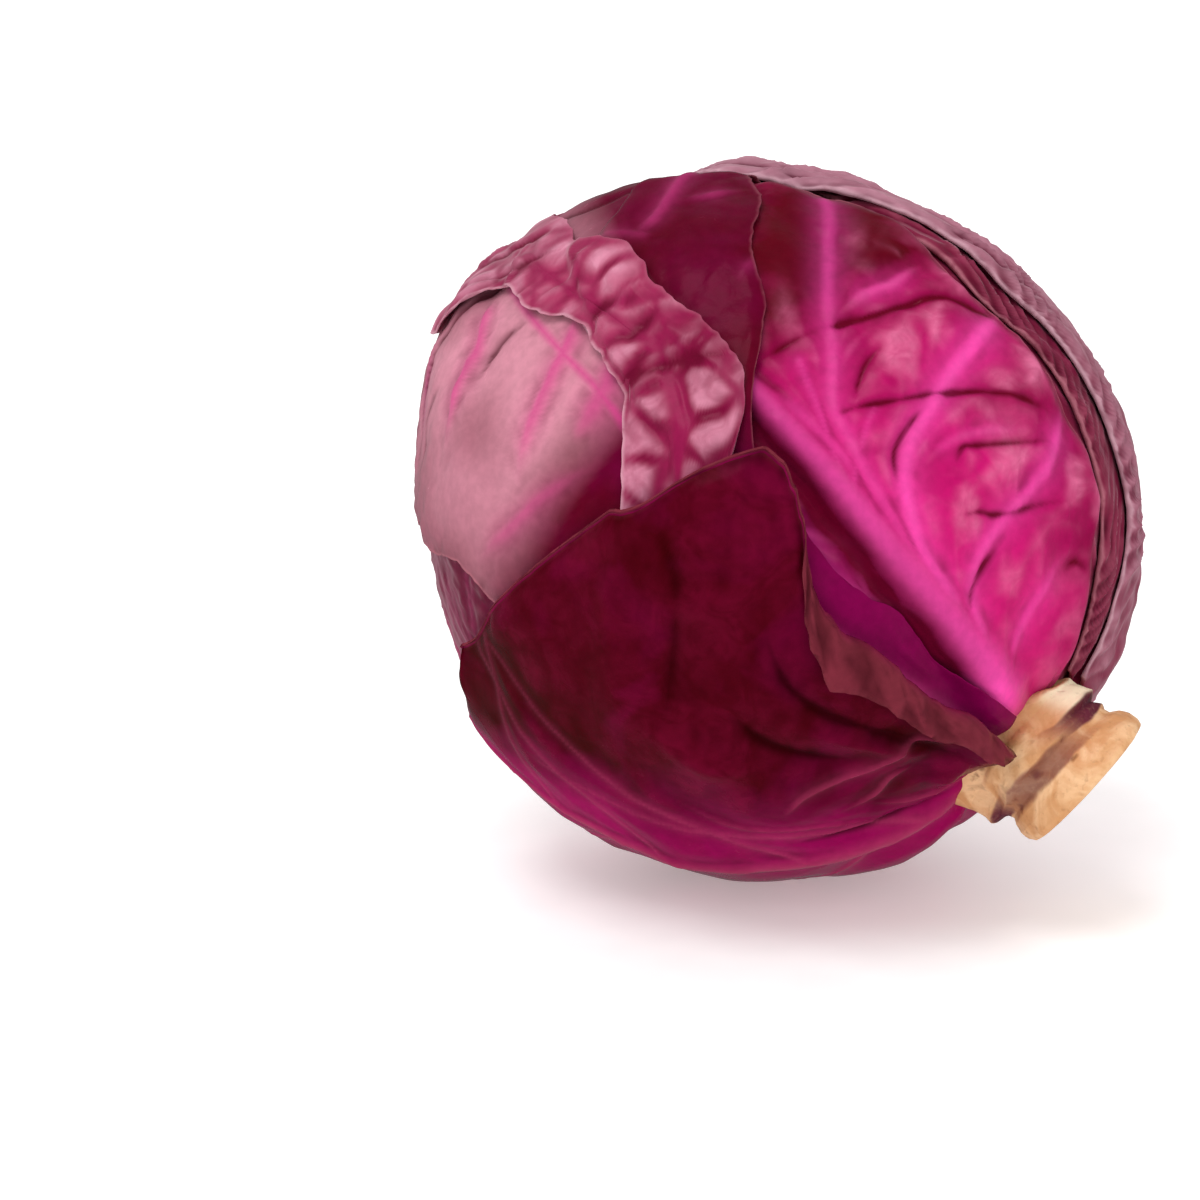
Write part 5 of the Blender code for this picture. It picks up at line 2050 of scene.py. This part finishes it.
@dataclass
class StemStump:
    """The cut stem with the scars and remnants of the leaves that were cut off it."""

    finish: StemFinish = StemFinish()
    root: float = 0.0773
    length: float = 0.0218
    rings: int = 150
    around: int = 220
    cap_rings: int = 24
    roughness: float = 0.0006
    rough_sizes: tuple[float, float] = (0.007, 0.0028)
    wander_sizes: tuple[float, float] = (0.009, 0.003)
    dish: float = 0.0012
    profile: Angles = (
        (0.0, 0.0172), (0.12, 0.0164), (0.25, 0.0156), (0.42, 0.0160), (0.55, 0.0170), (0.6, 0.0160),
        (0.66, 0.0159), (0.72, 0.0172), (0.82, 0.0182), (0.93, 0.0184), (0.985, 0.0178), (1.0, 0.0168),
    )
    scars: tuple[LeafScar, ...] = (
        LeafScar(-62.0, 32.0, 0.06, 0.42, 0.0034, 1.0, 1.0),
        LeafScar(22.0, 34.0, 0.2, 0.55, 0.0012, 0.0, 0.7),
        LeafScar(98.0, 26.0, -0.1, 0.48, 0.0030, 0.0, 1.0),
        LeafScar(165.0, 34.0, 0.2, 0.56, 0.0014, 0.5, 0.6),
        LeafScar(-128.0, 28.0, 0.1, 0.46, 0.0024, 0.6, 0.9),
    )

    def build(self, height: float) -> bpy.types.Object:
        """Makes the stump.

        Args:
            height: How high the head's centre is above the floor.

        Returns:
            The stump.
        """
        side, inwards = np.linspace(0, 1, self.rings), np.linspace(1, 0, self.cap_rings + 1)[1:]
        rise = np.concatenate([side, np.ones(self.cap_rings)])[:, None]
        share = np.concatenate([np.ones(self.rings), inwards])[:, None]
        turn = np.linspace(-math.pi, math.pi, self.around, endpoint=False)[None, :]
        rise, share, turn = np.broadcast_arrays(rise, share, turn)
        radius = along_path(rise, self.profile)
        across = radius * share
        places = np.stack([np.cos(turn) * across, np.sin(turn) * across, rise * self.length], -1)
        broad, fine = self.rough_sizes
        rough = lattice_noise(places, broad, 3) + 0.5 * lattice_noise(places, fine, 4)
        broad, fine = self.wander_sizes
        wander = rise + 0.05 * lattice_noise(places, broad, 6) + 0.02 * lattice_noise(places, fine, 7)
        degrees = np.degrees(turn)
        radius = radius + sum(scar.shelf(wander, degrees) for scar in self.scars)
        cream = np.max([scar.cut(wander, degrees) for scar in self.scars], axis=0)
        purple = np.max([scar.remnant(wander, degrees) for scar in self.scars], axis=0)
        radius = radius + self.roughness * rough * (share > 0.99) * smooth_step(rise * 4)
        across = radius * share
        tilt = CUT_TILT * across * np.cos(turn) * smooth_step((rise - 0.3) / 0.7)
        dish = smooth_step((1.0 - share) * 5.0) * (self.roughness * rough - self.dish)
        reach = self.root + self.length * rise + tilt + dish
        offset = directions(np.array(90.0), np.array(STUMP_OFFSET_AZIMUTH)) * STUMP_CENTRE_OFFSET
        ray = np.cos(turn)[..., None] * ZERO + np.sin(turn)[..., None] * QUARTER
        points = STEM * reach[..., None] + ray * across[..., None]
        points = points + offset * smooth_step(rise)[..., None]
        stump = self.solid(points, {"purple": purple, "cream": cream}, height)
        settle(stump, "stem_stump")
        return stump

    def solid(self, points: np.ndarray, marks: dict[str, np.ndarray], height: float) -> bpy.types.Object:
        """A closed object from rings of points, the last of which is one point.

        Args:
            points: The rings, from the root to the middle of the cut.
            marks: Numbers for the skin, point by point.
            height: How high the head's centre is above the floor.

        Returns:
            The object.
        """
        rows = len(points)
        number = np.arange((rows - 1) * self.around).reshape(rows - 1, self.around)
        after = np.roll(number, -1, axis=1)
        tip = (rows - 1) * self.around
        quads = np.stack([number[:-1], after[:-1], after[1:], number[1:]], -1).reshape(-1, 4)
        faces = [tuple(quad) for quad in quads.tolist()]
        faces += [(int(number[-1, j]), int(after[-1, j]), tip) for j in range(self.around)]
        faces.append(tuple(int(v) for v in number[0, ::-1]))
        vertices = np.concatenate([points[:-1].reshape(-1, 3), points[-1:, 0]])
        mesh = bpy.data.meshes.new("stem_stump_fine")
        mesh.from_pydata((vertices + np.array([0.0, 0.0, height])).tolist(), [], faces)
        for name, value in marks.items():
            write_mark(mesh, name, np.append(value[:-1].ravel(), value[-1, 0]))
        mesh.shade_smooth()
        mesh.materials.append(self.finish.material())
        return bpy.data.objects.new("stem_stump_fine", mesh)


@dataclass(frozen=True)
class Lamp:
    """A broad soft light from far away.

    It has the direction that it comes from, its width in degrees and its power in watts a square metre.
    """

    name: str
    place: Direction
    angle: float
    power: float
    mirrored: bool = True

    def build(self) -> bpy.types.Object:
        """Makes the light.

        Returns:
            The light.
        """
        data = bpy.data.lights.new(self.name, "SUN")
        data.angle = math.radians(self.angle)
        data.energy = self.power
        lamp = bpy.data.objects.new(self.name, data)
        lamp.location = self.place
        lamp.rotation_euler = (-Vector(self.place)).to_track_quat("-Z", "Y").to_euler()
        lamp.visible_glossy = self.mirrored
        bpy.context.scene.collection.objects.link(lamp)
        return lamp


@dataclass
class Studio:
    """The pale floor, the soft light and the camera.

    The camera aims aside of the head's centre and below it, as far as the photograph does, in metres.
    """

    floor_size: float = 12.0
    floor_glow: float = 0.3
    lamps: tuple[Lamp, ...] = (
        Lamp("key_light", (-0.35, -0.45, 1.2), 30.0, 1.15),
        Lamp("back_light", (-0.1, 1.0, 0.7), 50.0, 0.7, mirrored=False),
        Lamp("front_light", (0.15, -1.0, 0.35), 60.0, 0.38, mirrored=False),
    )
    fill: float = 0.72
    mirrored_fill: float = 0.22
    distance: float = 1.2
    lens: float = 153.5
    sensor: float = 36.0
    aside: float = 0.0394
    below: float = 0.0176

    def build(self, height: float) -> None:
        """Makes the floor, the lights and the camera.

        Args:
            height: How high the head's centre is above the floor.
        """
        self.make_floor()
        for lamp in self.lamps:
            lamp.build()
        self.make_world()
        self.make_camera(height)

    def make_floor(self) -> None:
        """A pale floor."""
        shape = bmesh.new()
        bmesh.ops.create_grid(shape, x_segments=8, y_segments=8, size=self.floor_size / 2)
        mesh = bpy.data.meshes.new("floor")
        shape.to_mesh(mesh)
        shape.free()
        skin = bpy.data.materials.new("floor_paper")
        bench = NodeBench(skin)
        grain = bench.noise(60.0, 4.0)
        tone = bench.mix(bench.scaled(grain, 0.3, 0.7, 0.0, 1.0), (0.9, 0.9, 0.9), (0.93, 0.93, 0.93))
        bench.surface(
            Base_Color=tone,
            Roughness=bench.scaled(grain, 0.3, 0.7, 0.5, 0.6),
            Specular_IOR_Level=0.3,
            Emission_Color=(1.0, 0.97, 0.95),
            Emission_Strength=self.floor_glow,
        )
        mesh.materials.append(skin)
        floor = bpy.data.objects.new("floor", mesh)
        bpy.context.scene.collection.objects.link(floor)
        floor.visible_glossy = False

    def make_world(self) -> None:
        """Even white light from all round, weaker in reflections."""
        world = bpy.data.worlds.new("studio")
        world.use_nodes = True
        bpy.context.scene.world = world
        tree = world.node_tree
        background = tree.nodes["Background"]
        background.inputs["Color"].default_value = (1.0, 1.0, 1.0, 1.0)
        path = tree.nodes.new("ShaderNodeLightPath")
        level = tree.nodes.new("ShaderNodeMapRange")
        level.inputs["To Min"].default_value = self.fill
        level.inputs["To Max"].default_value = self.mirrored_fill
        tree.links.new(path.outputs["Is Glossy Ray"], level.inputs["Value"])
        tree.links.new(level.outputs[0], background.inputs["Strength"])

    def make_camera(self, height: float) -> None:
        """The camera, at the photograph's angle.

        Args:
            height: How high the head's centre is above the floor.
        """
        data = bpy.data.cameras.new("camera")
        data.sensor_width = self.sensor
        data.lens = self.lens
        camera = bpy.data.objects.new("camera", data)
        back = Vector((0.0, -math.cos(FRONT_RISE), math.sin(FRONT_RISE)))
        up = Vector((0.0, math.sin(FRONT_RISE), math.cos(FRONT_RISE)))
        aim = Vector((0.0, 0.0, height)) - Vector((1.0, 0.0, 0.0)) * self.aside - up * self.below
        camera.location = aim + back * self.distance
        camera.rotation_euler = (-back).to_track_quat("-Z", "Y").to_euler()
        bpy.context.scene.collection.objects.link(camera)
        bpy.context.scene.camera = camera


def main() -> None:
    """Builds the head from its packed middle outwards, then the studio."""
    logging.basicConfig(level=logging.INFO, format="%(name)s: %(message)s")
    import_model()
    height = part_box("packed_head")[0].z + math.sqrt(BALL_RADIUS**2 - BALL_FLAT_RADIUS**2)
    LOG.info("the head's centre is %.2f mm up", height * 1000)
    head = HeadSurface()
    PackedHead().build(height, head)
    maker = LeafMaker(height, head)
    for leaf in LEAVES:
        maker.build(leaf)
    StemStump().build(height)
    Studio().build(height)
    bpy.context.scene.view_settings.view_transform = "Standard"


if __name__ == "__main__":
    main()
